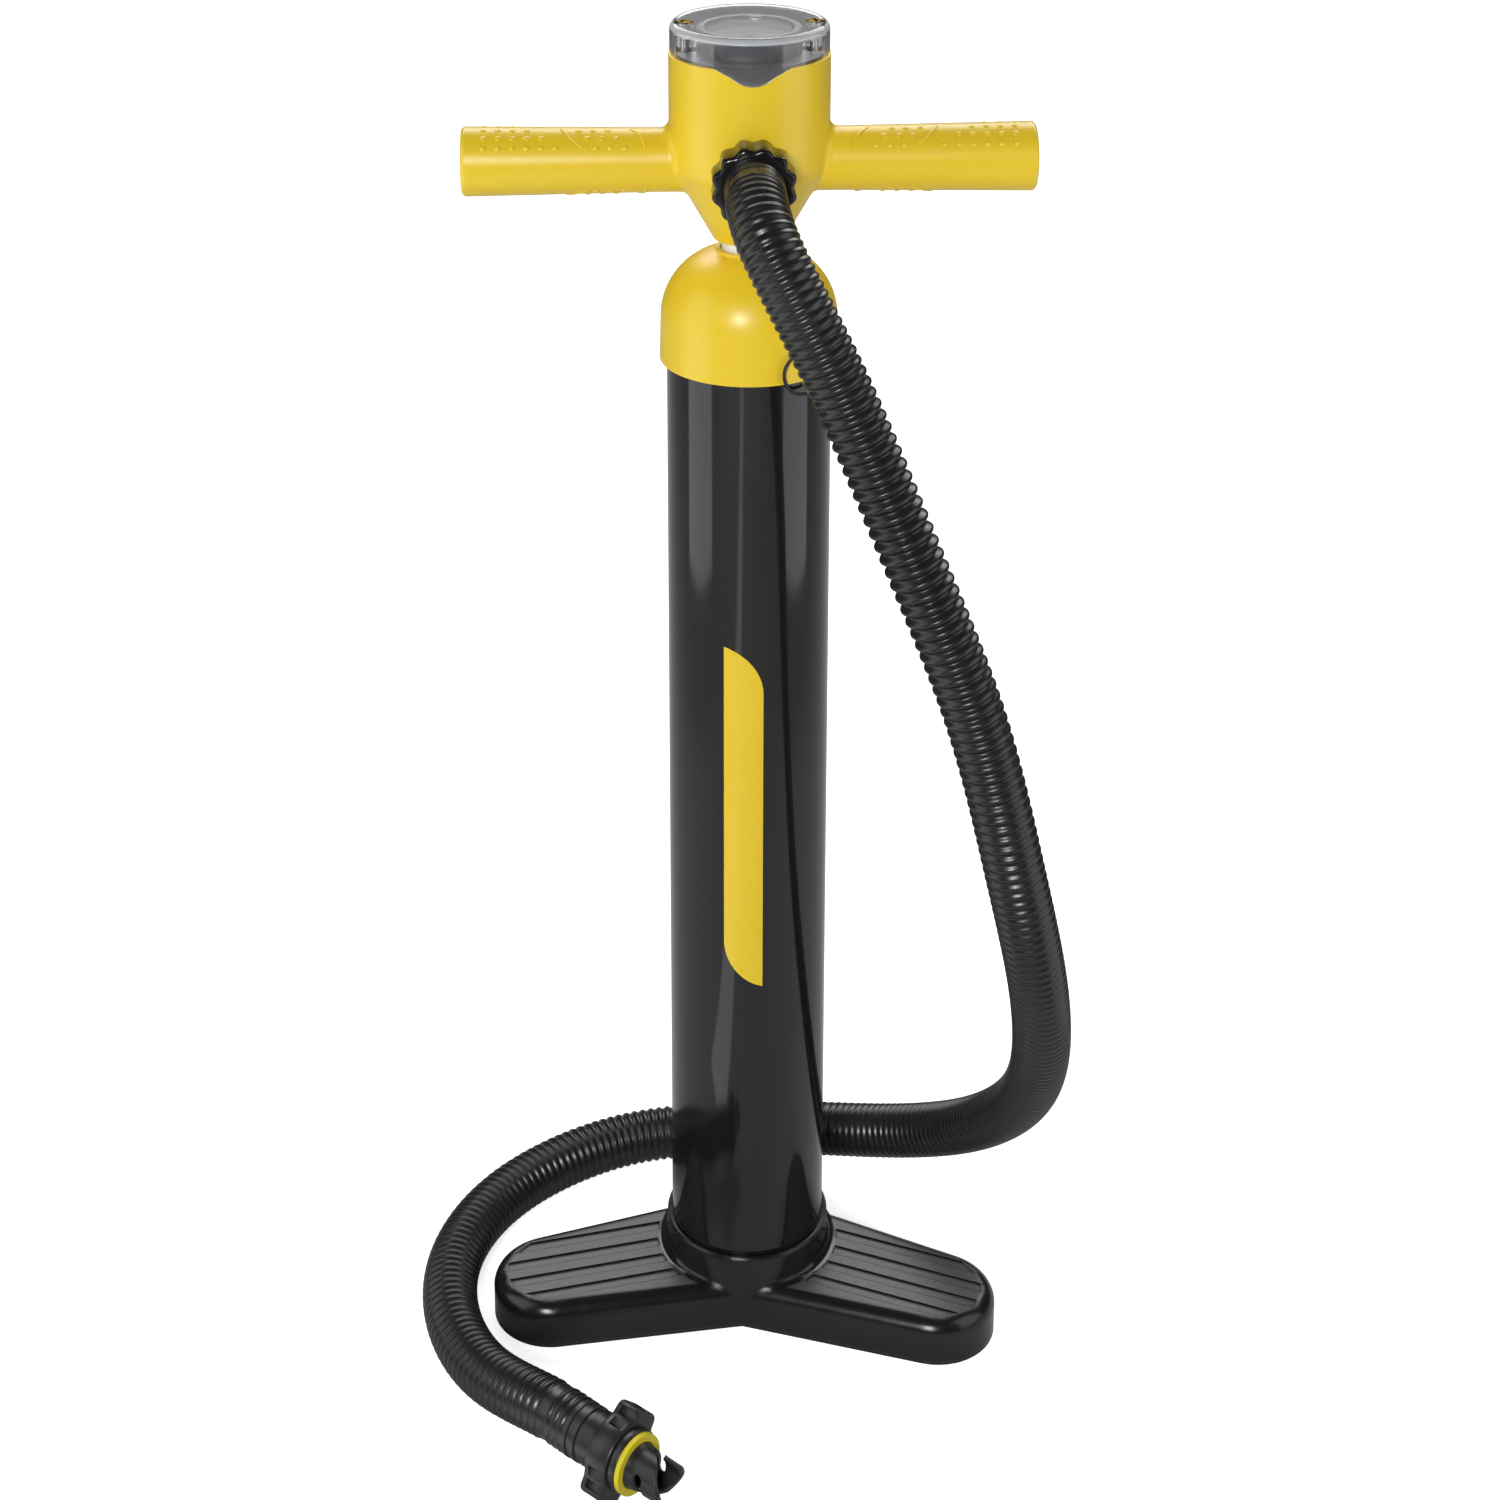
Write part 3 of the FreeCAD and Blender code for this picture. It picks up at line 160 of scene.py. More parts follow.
def moulded_plastic(name, colour, roughness, grain=0.00002, variation=0.06, wear=0.05):
    """Injection-moulded plastic: slow colour drift, fine grain, faint scuffs and lighter edges."""
    material, tree, shader = new_material(name)
    place = object_place(tree)
    drift = noise(tree, place, DRIFT_SCALE, 2.0)
    darker = tuple(c * (1 - variation) for c in colour)
    lighter = tuple(min(c * (1 + variation), 1.0) for c in colour)
    base = mix_colours(tree, drift, darker, lighter)
    pointiness = add_node(tree, "ShaderNodeNewGeometry").outputs["Pointiness"]
    edge = remap(tree, pointiness, 0.53, 0.6, 0.0, wear)
    worn = mix_colours(tree, edge, base, tuple(min(c * 1.5 + 0.03, 1.0) for c in colour))
    tree.links.new(worn, shader.inputs["Base Color"])
    scuffs = noise(tree, place, SCUFF_SCALE, 6.0, 0.65)
    rough = remap(tree, scuffs, 0.3, 0.75, roughness * 0.85, roughness * 1.2)
    tree.links.new(rough, shader.inputs["Roughness"])
    fine = noise(tree, place, GRAIN_SCALE, 2.0)
    tree.links.new(bump(tree, fine, grain), shader.inputs["Normal"])
    return material, tree, shader


def plain_plastic(name, colour, roughness, **settings):
    """The material alone of a moulded plastic."""
    return moulded_plastic(name, colour, roughness, **settings)[0]


# ------------------------------------------------------------------ materials

YELLOW = (0.84, 0.595, 0.024)
BLACK = (0.010, 0.010, 0.011)


BASE_EDGE_ROUNDING = 4.5 * MM
TREAD_EDGE_ROUNDING = 0.6 * MM
# Paler grey painted into the treads' colour as the sheen they catch from the light above and behind.
TREAD_PAINTED_SHEEN_COLOUR = (0.06, 0.06, 0.062)


def make_base_material():
    """Glossy black ABS with softened edges, matt and slightly grained on the two treads, whose upward faces get a
    paler colour as painted sheen from the light above and behind.
    """
    material, tree, shader = moulded_plastic("base_black", BLACK, 0.2, grain=0.000008, wear=0.03)
    place = object_place(tree)
    split = add_node(tree, "ShaderNodeSeparateXYZ")
    tree.links.new(place, split.inputs[0])
    normal = add_node(tree, "ShaderNodeSeparateXYZ")
    tree.links.new(add_node(tree, "ShaderNodeNewGeometry").outputs["Normal"], normal.inputs[0])
    level = remap(tree, normal.outputs["Z"], 0.955, 0.985, 0.0, 1.0)
    high = remap(tree, split.outputs["Z"], FOOT_TREAD - 2.5 * MM, FOOT_TREAD - 1.5 * MM, 0.0, 1.0)
    low_enough = remap(tree, split.outputs["Z"], FOOT_TREAD + 0.5 * MM, FOOT_TREAD + 1.5 * MM, 1.0, 0.0)
    reach = math_node(tree, "SQRT", math_node(
        tree, "ADD", math_node(tree, "POWER", split.outputs["X"], 2.0),
        math_node(tree, "POWER", split.outputs["Y"], 2.0)), 0.0)
    outside = remap(tree, reach, TREAD_START - 0.5 * MM, TREAD_START + 0.5 * MM, 0.0, 1.0)
    tread = math_node(tree, "MULTIPLY", math_node(tree, "MULTIPLY", level, high),
                      math_node(tree, "MULTIPLY", low_enough, outside))
    old = shader.inputs["Roughness"].links[0].from_socket
    grain = noise(tree, place, 700.0, 4.0)
    satin = remap(tree, grain, 0.2, 0.8, 0.34, 0.46)
    mix = add_node(tree, "ShaderNodeMix")
    tree.links.new(tread, mix.inputs[0])
    tree.links.new(old, mix.inputs[2])
    tree.links.new(satin, mix.inputs[3])
    tree.links.new(mix.outputs[0], shader.inputs["Roughness"])
    colour = shader.inputs["Base Color"].links[0].from_socket
    # Painted sheen: the upward-facing treads get the paler grey colour for the light they catch from above and
    # behind.
    tree.links.new(mix_colours(tree, tread, colour, TREAD_PAINTED_SHEEN_COLOUR), shader.inputs["Base Color"])
    rounding = add_node(tree, "ShaderNodeBevel")
    rounding.samples = 8
    radius = remap(tree, tread, 0.0, 1.0, BASE_EDGE_ROUNDING, TREAD_EDGE_ROUNDING)
    tree.links.new(radius, rounding.inputs["Radius"])
    grain_bump = shader.inputs["Normal"].links[0].from_node
    tree.links.new(rounding.outputs[0], grain_bump.inputs["Normal"])
    return material


def make_clear_material():
    """Clear polycarbonate with a few faint hairlines and a painted highlight: a pale diffuse layer on the
    upward-sloping rim faces, for edges that catch the light.
    """
    material, tree, shader = new_material("clear_cover")
    place = object_place(tree)
    shader.inputs["Base Color"].default_value = (0.965, 0.975, 0.98, 1.0)
    shader.inputs["Transmission Weight"].default_value = 1.0
    shader.inputs["IOR"].default_value = 1.5
    shader.inputs["Specular IOR Level"].default_value = 0.25
    hairlines = noise(tree, place, 900.0, 5.0, 0.7)
    tree.links.new(remap(tree, hairlines, 0.55, 0.8, 0.015, 0.09), shader.inputs["Roughness"])
    tree.links.new(bump(tree, noise(tree, place, 120.0, 2.0), 0.000002), shader.inputs["Normal"])
    # Painted highlight: a pale diffuse layer on the upward-sloping faces of the rim stands in for the light the
    # edges catch.
    normal = add_node(tree, "ShaderNodeSeparateXYZ")
    tree.links.new(add_node(tree, "ShaderNodeNewGeometry").outputs["Normal"], normal.inputs[0])
    rising = remap(tree, normal.outputs["Z"], 0.1, 0.3, 0.0, 0.6)
    falling = remap(tree, normal.outputs["Z"], 0.85, 0.97, 1.0, 0.0)
    painted_rim_highlight = add_node(tree, "ShaderNodeBsdfDiffuse")
    painted_rim_highlight.inputs["Color"].default_value = (0.8, 0.82, 0.84, 1.0)
    with_painted_rim_highlight = add_node(tree, "ShaderNodeMixShader")
    tree.links.new(math_node(tree, "MULTIPLY", rising, falling), with_painted_rim_highlight.inputs[0])
    tree.links.new(shader.outputs[0], with_painted_rim_highlight.inputs[1])
    tree.links.new(painted_rim_highlight.outputs[0], with_painted_rim_highlight.inputs[2])
    see_through = add_node(tree, "ShaderNodeBsdfTransparent")
    choice = add_node(tree, "ShaderNodeMixShader")
    tree.links.new(add_node(tree, "ShaderNodeLightPath").outputs["Is Shadow Ray"], choice.inputs[0])
    tree.links.new(with_painted_rim_highlight.outputs[0], choice.inputs[1])
    tree.links.new(see_through.outputs[0], choice.inputs[2])
    tree.links.new(choice.outputs[0], tree.nodes["Material Output"].inputs["Surface"])
    return material


def make_metal_material(name, colour, roughness):
    """Plated or turned metal with fine turning marks."""
    material, tree, shader = new_material(name)
    place = object_place(tree)
    marks = noise(tree, place, 1500.0, 3.0)
    tree.links.new(mix_colours(tree, marks, tuple(c * 0.8 for c in colour), colour),
                   shader.inputs["Base Color"])
    rough = remap(tree, marks, 0.3, 0.7, roughness * 0.8, roughness * 1.3)
    tree.links.new(rough, shader.inputs["Roughness"])
    tree.links.new(bump(tree, marks, 0.00001), shader.inputs["Normal"])
    shader.inputs["Metallic"].default_value = 1.0
    return material


def make_hose_material():
    """Black semi-gloss polyethylene of the hose."""
    colour = (0.014, 0.014, 0.015)
    return plain_plastic("hose_black", colour, 0.3, grain=0.000002, variation=0.15, wear=0.0)


def make_barrel_material():
    """The polished extruded barrel: deep gloss black with faint draw lines along its length."""
    material, tree, shader = moulded_plastic("barrel_black", BLACK, 0.09, grain=0.000003, wear=0.0)
    place = object_place(tree)
    stretch = add_node(tree, "ShaderNodeMapping")
    stretch.inputs["Scale"].default_value = (1.0, 1.0, 0.012)
    tree.links.new(place, stretch.inputs["Vector"])
    lines = noise(tree, stretch.outputs[0], 700.0, 3.0)
    tree.links.new(bump(tree, lines, 0.000012), shader.inputs["Normal"])
    return material


def make_sticker_material():
    """Printed vinyl: flat yellow ink, smoother than the moulded parts."""
    colour = (0.86, 0.60, 0.02)
    return plain_plastic("sticker_yellow", colour, 0.3, grain=0.000004, variation=0.03, wear=0.0)


MATERIALS = {
    "black_gloss": plain_plastic("black_gloss", BLACK, 0.16, grain=0.00001, wear=0.03),
    "base": make_base_material(),
    "barrel": make_barrel_material(),
    "hose": make_hose_material(),
    "black_moulding": plain_plastic("black_moulding", (0.016, 0.016, 0.017), 0.36, grain=0.000015,
                                    wear=0.1),
    "yellow": plain_plastic("yellow_satin", YELLOW, 0.34, grain=0.000008, variation=0.02, wear=0.0),
    "sticker": make_sticker_material(),
    "yellow_rubber": plain_plastic("yellow_gasket", (0.75, 0.62, 0.01), 0.5, grain=0.00002),
    "rubber": plain_plastic("seal_rubber", (0.012, 0.012, 0.012), 0.6, grain=0.00003),
    "white": plain_plastic("rod_white", (0.78, 0.78, 0.76), 0.25, grain=0.000006, variation=0.02),
    "natural": plain_plastic("natural_acetal", (0.66, 0.65, 0.6), 0.35, grain=0.00001),
    "grey": plain_plastic("gauge_grey", (0.035, 0.036, 0.039), 0.3, grain=0.00002),
    "dial": plain_plastic("dial_grey", (0.13, 0.135, 0.145), 0.5, grain=0.00001),
    "mark": plain_plastic("dial_marks", (0.015, 0.015, 0.018), 0.5, grain=0.00001),
    "clear": make_clear_material(),
    "steel": make_metal_material("plated_steel", (0.6, 0.6, 0.62), 0.25),
    "brass": make_metal_material("brass", (0.75, 0.55, 0.22), 0.3),
}

CAD_FINISH = {
    "black_gloss": "black_gloss", "black_hose": "hose", "black_moulding": "black_moulding",
    "yellow_satin": "yellow", "yellow_sticker": "sticker", "yellow_rubber": "yellow_rubber",
    "black_rubber": "rubber", "white_plastic": "white", "natural_plastic": "natural",
    "grey_plastic": "grey", "clear_plastic": "clear", "dial_print": "dial", "steel": "steel",
    "brass": "brass",
}
SPECIAL_FINISH = {"foot_base": "base", "barrel_tube": "barrel"}


def paint(piece, finish):
    """Gives a piece one material."""
    piece.data.materials.clear()
    piece.data.materials.append(MATERIALS[finish])


def smooth_by_angle(piece, degrees):
    """Smooth shading except across sharp edges."""
    mesh = piece.data
    mesh.shade_smooth()
    mesh.set_sharp_from_angle(angle=math.radians(degrees))


for part in frame["record"]["subparts"]:
    node = part["node"]
    finish = SPECIAL_FINISH.get(node, CAD_FINISH[part["material_slot"]])
    paint(NODES[node], finish)


# ------------------------------------------------------------------ mesh helpers

def new_piece(name, vertices, faces, finish):
    """A mesh object from points in metres and faces."""
    mesh = bpy.data.meshes.new(name)
    mesh.from_pydata([tuple(v) for v in vertices], [], faces)
    mesh.update()
    piece = bpy.data.objects.new(name, mesh)
    bpy.context.scene.collection.objects.link(piece)
    paint(piece, finish)
    mesh.shade_smooth()
    return piece


def grid_faces(rows, columns, first=0):
    """Quads of a grid of rings that close round the columns."""
    faces = []
    for row in range(rows - 1):
        for column in range(columns):
            beside = (column + 1) % columns
            low, high = first + row * columns, first + (row + 1) * columns
            faces.append((low + column, low + beside, high + beside, high + column))
    return faces


def frame_matrix(origin, z_axis, x_hint=Vector((0, 0, 1))):
    """A transform whose Z lies along z_axis and whose X leans towards x_hint."""
    z = z_axis.normalized()
    y = z.cross(x_hint).normalized()
    x = y.cross(z)
    return Matrix.Translation(origin) @ Matrix((x, y, z)).transposed().to_4x4()


# ------------------------------------------------------------------ hose

HOSE_ROUTE_MM = [
    (10, -80, 561), (20, -91.5, 543), (43, -95, 497), (73, -99, 426), (100, -101, 356),
    (118, -98, 285), (130, -85, 224), (134, -58, 165), (125, -12, 108), (102, 28, 67),
    (66, 58, 41), (24, 78, 26), (-18, 87, 17), (-60, 83, 13.2), (-98, 60, 13.2),
    (-127, 25, 13.2), (-140, -18, 13.2), (-134, -60, 13.3), (-112, -96, 15),
]
HOSE_RADIUS = 13.0 * MM
# Distance along the hose and ridge pitch there: stretched where it hangs, closed up where it bends.
RIDGE_PITCH_STRETCHED_MM = 6.0
RIDGE_PITCHES_MM = [
    (0, 3.2), (50, 3.6), (90, 4.4), (140, 5.6), (175, RIDGE_PITCH_STRETCHED_MM), (260, 5.1),
    (320, 4.7), (380, 3.9), (440, 3.3), (550, 3.5), (650, 3.9), (800, 4.1),
]
RIDGE_DEPTH = 2.4 * MM
RING_SPACING = 0.36 * MM
CUFF_LENGTH = 15 * MM
CUFF_RINGS_MM = (3.5, 7.0, 10.5)
CUFF_RING_HEIGHT = 0.5 * MM
CUFF_RING_WIDTH = 0.7 * MM
HOSE_SIDES = 52


def smooth_route(points, count):
    """Evenly spaced points along a natural cubic spline through the points."""
    points = np.array(points, float)
    gaps = np.sqrt(np.linalg.norm(np.diff(points, axis=0), axis=1))
    knots = np.concatenate([[0], np.cumsum(gaps)])
    size = len(points)
    matrix = np.zeros((size, size))
    right = np.zeros((size, 3))
    matrix[0, 0] = matrix[-1, -1] = 1.0
    steps = np.diff(knots)
    for i in range(1, size - 1):
        matrix[i, i - 1] = steps[i - 1]
        matrix[i, i] = 2 * (steps[i - 1] + steps[i])
        matrix[i, i + 1] = steps[i]
        after = (points[i + 1] - points[i]) / steps[i]
        before = (points[i] - points[i - 1]) / steps[i - 1]
        right[i] = 6 * (after - before)
    second = np.linalg.solve(matrix, right)

    def at(t):
        i = np.clip(np.searchsorted(knots, t, side="right") - 1, 0, size - 2)
        a = ((knots[i + 1] - t) / steps[i])[:, None]
        b = ((t - knots[i]) / steps[i])[:, None]
        bend = ((a ** 3 - a) * second[i] + (b ** 3 - b) * second[i + 1]) * (steps[i] ** 2)[:, None] / 6
        return a * points[i] + b * points[i + 1] + bend

    dense = at(np.linspace(0, knots[-1], 6000))
    lengths = np.concatenate([[0], np.cumsum(np.linalg.norm(np.diff(dense, axis=0), axis=1))])
    wanted = np.linspace(0, lengths[-1], count)
    places = np.column_stack([np.interp(wanted, lengths, dense[:, k]) for k in range(3)])
    return places, wanted


def hose_radius_at(along, total):
    """Outer radius of the hose: smooth ringed cuffs at both ends, rounded ridges between."""
    from_end = np.minimum(along, total - along)
    stations, pitches = zip(*RIDGE_PITCHES_MM)
    pitch = np.interp(along, np.array(stations) * MM, np.array(pitches) * MM)
    phase = np.concatenate([[0], np.cumsum(np.diff(along) / pitch[1:])])
    ridge = (0.5 + 0.5 * np.cos(2 * np.pi * phase)) ** 0.8
    depth = RIDGE_DEPTH * (pitch / (RIDGE_PITCH_STRETCHED_MM * MM)) ** 2.2
    body = HOSE_RADIUS - depth * (1 - ridge)
    cuff = np.full_like(along, HOSE_RADIUS - 0.7 * MM)
    for ring in CUFF_RINGS_MM:
        cuff += CUFF_RING_HEIGHT * np.exp(-((from_end - ring * MM) / CUFF_RING_WIDTH) ** 2)
    ramp = np.clip((from_end - CUFF_LENGTH) / (2 * MM), 0, 1)
    return cuff * (1 - ramp) + body * ramp


def make_hose():
    """The corrugated hose from the nut to the valve adapter, one closed skin."""
    reach = max((vertex.co - PORT_POS).dot(PORT_OUT) for vertex in NODES["hose_nut"].data.vertices)
    start = PORT_POS + PORT_OUT * (reach - 3 * MM)
    ahead = PORT_POS + PORT_OUT * (reach + 11 * MM)
    route = [start, ahead] + [Vector(p) * MM for p in HOSE_ROUTE_MM]
    route += [ADAPTER_POS - ADAPTER_OUT * 20 * MM, ADAPTER_POS + ADAPTER_OUT * 1 * MM]
    total = smooth_route(route, 400)[1][-1]
    spine, along = smooth_route(route, int(total / RING_SPACING))
    radii = hose_radius_at(along, total)
    tangents = np.gradient(spine, axis=0)
    tangents /= np.linalg.norm(tangents, axis=1)[:, None]
    side = np.cross(tangents[0], (0, 0, 1.0))
    side /= np.linalg.norm(side)
    angles = np.linspace(0, 2 * np.pi, HOSE_SIDES, endpoint=False)
    vertices = []
    for place, tangent, radius in zip(spine, tangents, radii):
        side = side - tangent * side.dot(tangent)
        side /= np.linalg.norm(side)
        other = np.cross(tangent, side)
        ring = place + radius * (np.cos(angles)[:, None] * side + np.sin(angles)[:, None] * other)
        vertices.extend(ring)
    faces = grid_faces(len(spine), HOSE_SIDES)
    last = (len(spine) - 1) * HOSE_SIDES
    faces.append(tuple(reversed(range(HOSE_SIDES))))
    faces.append(tuple(range(last, last + HOSE_SIDES)))
    faces = [tuple(reversed(face)) for face in faces]
    piece = new_piece("corrugated_hose", vertices, faces, "hose")
    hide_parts("hose")
    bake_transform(piece)


make_hose()


# ------------------------------------------------------------------ grips

BAR_ROOT_REACH, BAR_ROOT_RADIUS = 40.5 * MM, 13.9 * MM
BAR_END_REACH, BAR_END_RADIUS = 121.75 * MM, 15.0 * MM
STUD_RADIUS = 1.5 * MM
SUNK = 0.06 * MM


def bar_radius(across):
    """The handle's radius at a distance from the head's axis."""
    share = np.clip((abs(across) - BAR_ROOT_REACH) / (BAR_END_REACH - BAR_ROOT_REACH), 0, 1)
    return BAR_ROOT_RADIUS + (BAR_END_RADIUS - BAR_ROOT_RADIUS) * share


def on_grip(across, angle, lift):
    """A point on the handle: distance along it, angle from the top towards the front, and height."""
    radius = bar_radius(across) + lift
    front = PORT_OUT * math.sin(angle) * radius
    up = Vector((0, 0, 1)) * math.cos(angle) * radius
    return Vector((0, 0, HANDLE_HEIGHT)) + HANDLE_OUT * across + front + up


def add_dome(vertices, faces, across, angle, radius, height):
    """A low round stud on the grip."""
    spread = radius / bar_radius(across)
    rings, sides = 6, 16
    first = len(vertices)
    for ring in range(rings):
        reach = 1 - ring / rings
        lift = height * (1 - reach ** 2) ** 1.5 - SUNK * (ring == 0)
        for k in range(sides):
            turn = 2 * math.pi * k / sides
            vertices.append(on_grip(across + radius * reach * math.cos(turn),
                                    angle + spread * reach * math.sin(turn), lift))
    faces.extend(grid_faces(rings, sides, first))
    vertices.append(on_grip(across, angle, height))
    top = first + (rings - 1) * sides
    faces.extend((top + k, top + (k + 1) % sides, len(vertices) - 1) for k in range(sides))
    faces.append(tuple(reversed(range(first, first + sides))))


def add_ridge(vertices, faces, start, end, bow, width, height):
    """A curved ridge on the grip between two (across, angle) places, bowed sideways."""
    steps, sides = 18, 8
    first = len(vertices)
    for step in range(steps + 1):
        share = step / steps
        taper = math.sin(math.pi * min(max(share, 0.04), 0.96)) ** 0.25
        across = start[0] + (end[0] - start[0]) * share + bow * math.sin(math.pi * share)
        angle = start[1] + (end[1] - start[1]) * share
        for k in range(sides):
            turn = math.pi * k / (sides - 1)
            lift = math.sin(turn) ** 1.5 * height * taper - SUNK * (k in (0, sides - 1))
            vertices.append(on_grip(across + math.cos(turn) * width / 2 * taper, angle, lift))
    for step in range(steps):
        for k in range(sides):
            low, high = first + step * sides, first + (step + 1) * sides
            beside = (k + 1) % sides
            faces.append((low + k, high + k, high + beside, low + beside))
    faces.append(tuple(range(first, first + sides)))
    faces.append(tuple(reversed(range(first + steps * sides, first + (steps + 1) * sides))))


def make_grip_texture():
    """Raised studs and curved ridges on the upper front and underside of both grips."""
    vertices, faces = [], []
    pitch, lane = 6.1 * MM, math.radians(19)
    outer = 113 * MM
    for side in (-1, 1):
        for base_angle, flip in ((math.radians(52), -1), (math.radians(142), 1)):
            for row, count in enumerate((6, 5, 4, 3)):
                hidden_rows = 2 if flip > 0 else 0
                for k in range(count):
                    add_dome(vertices, faces, side * (outer - k * pitch),
                             base_angle + flip * (row + hidden_rows) * lane, STUD_RADIUS, 0.55 * MM)
            for row in range(3):
                for k in range(3):
                    across = 65.5 * MM - k * pitch + row * 3.6 * MM
                    add_dome(vertices, faces, side * across, base_angle + flip * row * lane,
                             STUD_RADIUS, 0.5 * MM)
            for near, far, bow in ((69, 80, 1.6), (44.5, 50.5, -1.8)):
                add_ridge(vertices, faces, (side * near * MM, base_angle + math.radians(6) * -flip),
                          (side * far * MM, base_angle + flip * 2.3 * lane), side * bow * MM,
                          1.7 * MM, 0.5 * MM)
    piece = new_piece("grip_texture", vertices, faces, "yellow")
    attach(piece, "handle")


make_grip_texture()


# ------------------------------------------------------------------ hose nut

NUT_LOBES = 12
NUT_SCALLOP = 1.6 * MM


def make_hose_nut():
    """The lobed nut on the hose port: a scalloped rim and a smooth front face.
    Each row of its profile is a radius, a height and how far the scallops reach into it."""
    reach = [(v.co - PORT_POS).dot(PORT_OUT) for v in NODES["hose_nut"].data.vertices]
    back, front = min(reach), max(reach)
    sides = NUT_LOBES * 16
    hole, bore = 11.9 * MM, 14.6 * MM
    outer = 18.0 * MM
    profile = [
        (bore, back, 0),
        (outer - 0.8 * MM, back, 1),
        (outer - 0.2 * MM, back + 0.5 * MM, 1),
        (outer, back + 1.4 * MM, 1),
        (outer, front - 2.6 * MM, 1),
        (outer - 0.15 * MM, front - 1.6 * MM, 1),
        (outer - 0.5 * MM, front - 0.8 * MM, 1),
        (outer - 1.0 * MM, front - 0.3 * MM, 0.95),
        (outer - 1.6 * MM, front - 0.08 * MM, 0.85),
        (outer - 2.3 * MM, front, 0.6),
        (outer - 3.2 * MM, front, 0),
        (hole + 1.0 * MM, front, 0),
        (hole + 0.3 * MM, front - 0.2 * MM, 0),
        (hole, front - 0.8 * MM, 0),
        (hole, front - 4.4 * MM, 0),
        (bore, front - 4.4 * MM, 0),
    ]
    vertices = []
    for radius, height, waviness in profile:
        for k in range(sides):
            turn = 2 * math.pi * k / sides
            wave = 0.5 - 0.5 * math.cos(NUT_LOBES * turn)
            scallop = NUT_SCALLOP * (1 - wave ** 0.85) * waviness
            reach_out = radius - scallop
            vertices.append((reach_out * math.cos(turn), reach_out * math.sin(turn), height))
    faces = grid_faces(len(profile), sides)
    last = (len(profile) - 1) * sides
    for k in range(sides):
        beside = (k + 1) % sides
        faces.append((last + k, last + beside, beside, k))
    piece = new_piece("hose_nut_lobed", vertices, faces, "black_gloss")
    piece.data.transform(frame_matrix(PORT_POS, PORT_OUT))
    smooth_by_angle(piece, 50)
    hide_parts("hose_nut")
    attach(piece, "hose_nut")


make_hose_nut()


# ------------------------------------------------------------------ collar of the base

COLLAR_RADIUS = 38.75 * MM
COLLAR_FILLET = 4.2 * MM


def make_collar_fillet():
    """The concave fillet between the collar and the two treads, dying out at the notches."""
    sides, steps = 180, 7
    buried = COLLAR_RADIUS - 0.6 * MM
    under = FOOT_TREAD - 0.6 * MM
    vertices = []
    for k in range(sides):
        turn = 2 * math.pi * k / sides
        towards_foot = abs(math.cos(turn))
        size = COLLAR_FILLET * min(max((towards_foot - 0.62) / 0.2, 0.02), 1.0)
        section = []
        for step in range(steps):
            bend = math.pi / 2 * step / (steps - 1)
            section.append((COLLAR_RADIUS + size * (1 - math.sin(bend)),
                            FOOT_TREAD + size * (1 - math.cos(bend)) - 0.05 * MM))
        section += [(buried, FOOT_TREAD + size), (buried, under), (COLLAR_RADIUS + size, under)]
        vertices.extend((out * math.cos(turn), out * math.sin(turn), up) for out, up in section)
    faces = []
    around = steps + 3
    for k in range(sides):
        low, high = k * around, (k + 1) % sides * around
        for step in range(around):
            beside = (step + 1) % around
            faces.append((low + step, high + step, high + beside, low + beside))
    piece = new_piece("collar_fillet", vertices, faces, "black_gloss")
    smooth_by_angle(piece, 45)
    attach(piece, "barrel")


make_collar_fillet()


# ------------------------------------------------------------------ valve adapter

WING_ROLL = math.radians(46)
WING_BACK, WING_FRONT = 16.5 * MM, 28.5 * MM
ADAPTER_LEVEL = Vector((-ADAPTER_OUT.y, ADAPTER_OUT.x, 0)).normalized()
WING_OUT = ADAPTER_LEVEL * math.cos(WING_ROLL) + Vector((0, 0, 1)) * math.sin(WING_ROLL)
ADAPTER_FRAME = frame_matrix(ADAPTER_POS, ADAPTER_OUT, WING_OUT)


def wing_outline(count):
    """The collar's outline: a round hub smoothly joined to a rounded paddle across it."""
    hub, half_length, half_width, corner, blend = 15.2, 20.2, 7.6, 3.2, 4.0

    def outside(x, y):
        circle = math.hypot(x, y) - hub
        dx, dy = abs(x) - half_length + corner, abs(y) - half_width + corner
        paddle = math.hypot(max(dx, 0), max(dy, 0)) + min(max(dx, dy), 0) - corner
        share = min(max(0.5 + 0.5 * (paddle - circle) / blend, 0), 1)
        return paddle + (circle - paddle) * share - blend * share * (1 - share)

    radii = []
    for k in range(count):
        turn = 2 * math.pi * k / count
        low, high = 8.0, 26.0
        for _ in range(30):
            middle = (low + high) / 2
            if outside(middle * math.cos(turn), middle * math.sin(turn)) > 0:
                high = middle
            else:
                low = middle
        radii.append(low * MM)
    return radii


def cut_boxes(piece, boxes):
    """Cuts boxes, each given by its lowest and highest corners in the piece's mesh, from a piece."""
    mesh = bpy.data.meshes.new("pockets")
    solid = bmesh.new()
    for low, high in boxes:
        made = bmesh.ops.create_cube(solid, size=1.0)["verts"]
        for vertex in made:
            for axis in range(3):
                vertex.co[axis] = low[axis] if vertex.co[axis] < 0 else high[axis]
    solid.to_mesh(mesh)
    solid.free()
    tool = bpy.data.objects.new("pockets", mesh)
    bpy.context.scene.collection.objects.link(tool)
    cut = piece.modifiers.new("pockets", "BOOLEAN")
    cut.operation = "DIFFERENCE"
    cut.solver = "EXACT"
    cut.object = tool
    bpy.context.view_layer.update()
    graph = bpy.context.evaluated_depsgraph_get()
    result = bpy.data.meshes.new_from_object(piece.evaluated_get(graph))
    piece.modifiers.clear()
    piece.data = result
    bpy.data.objects.remove(tool)


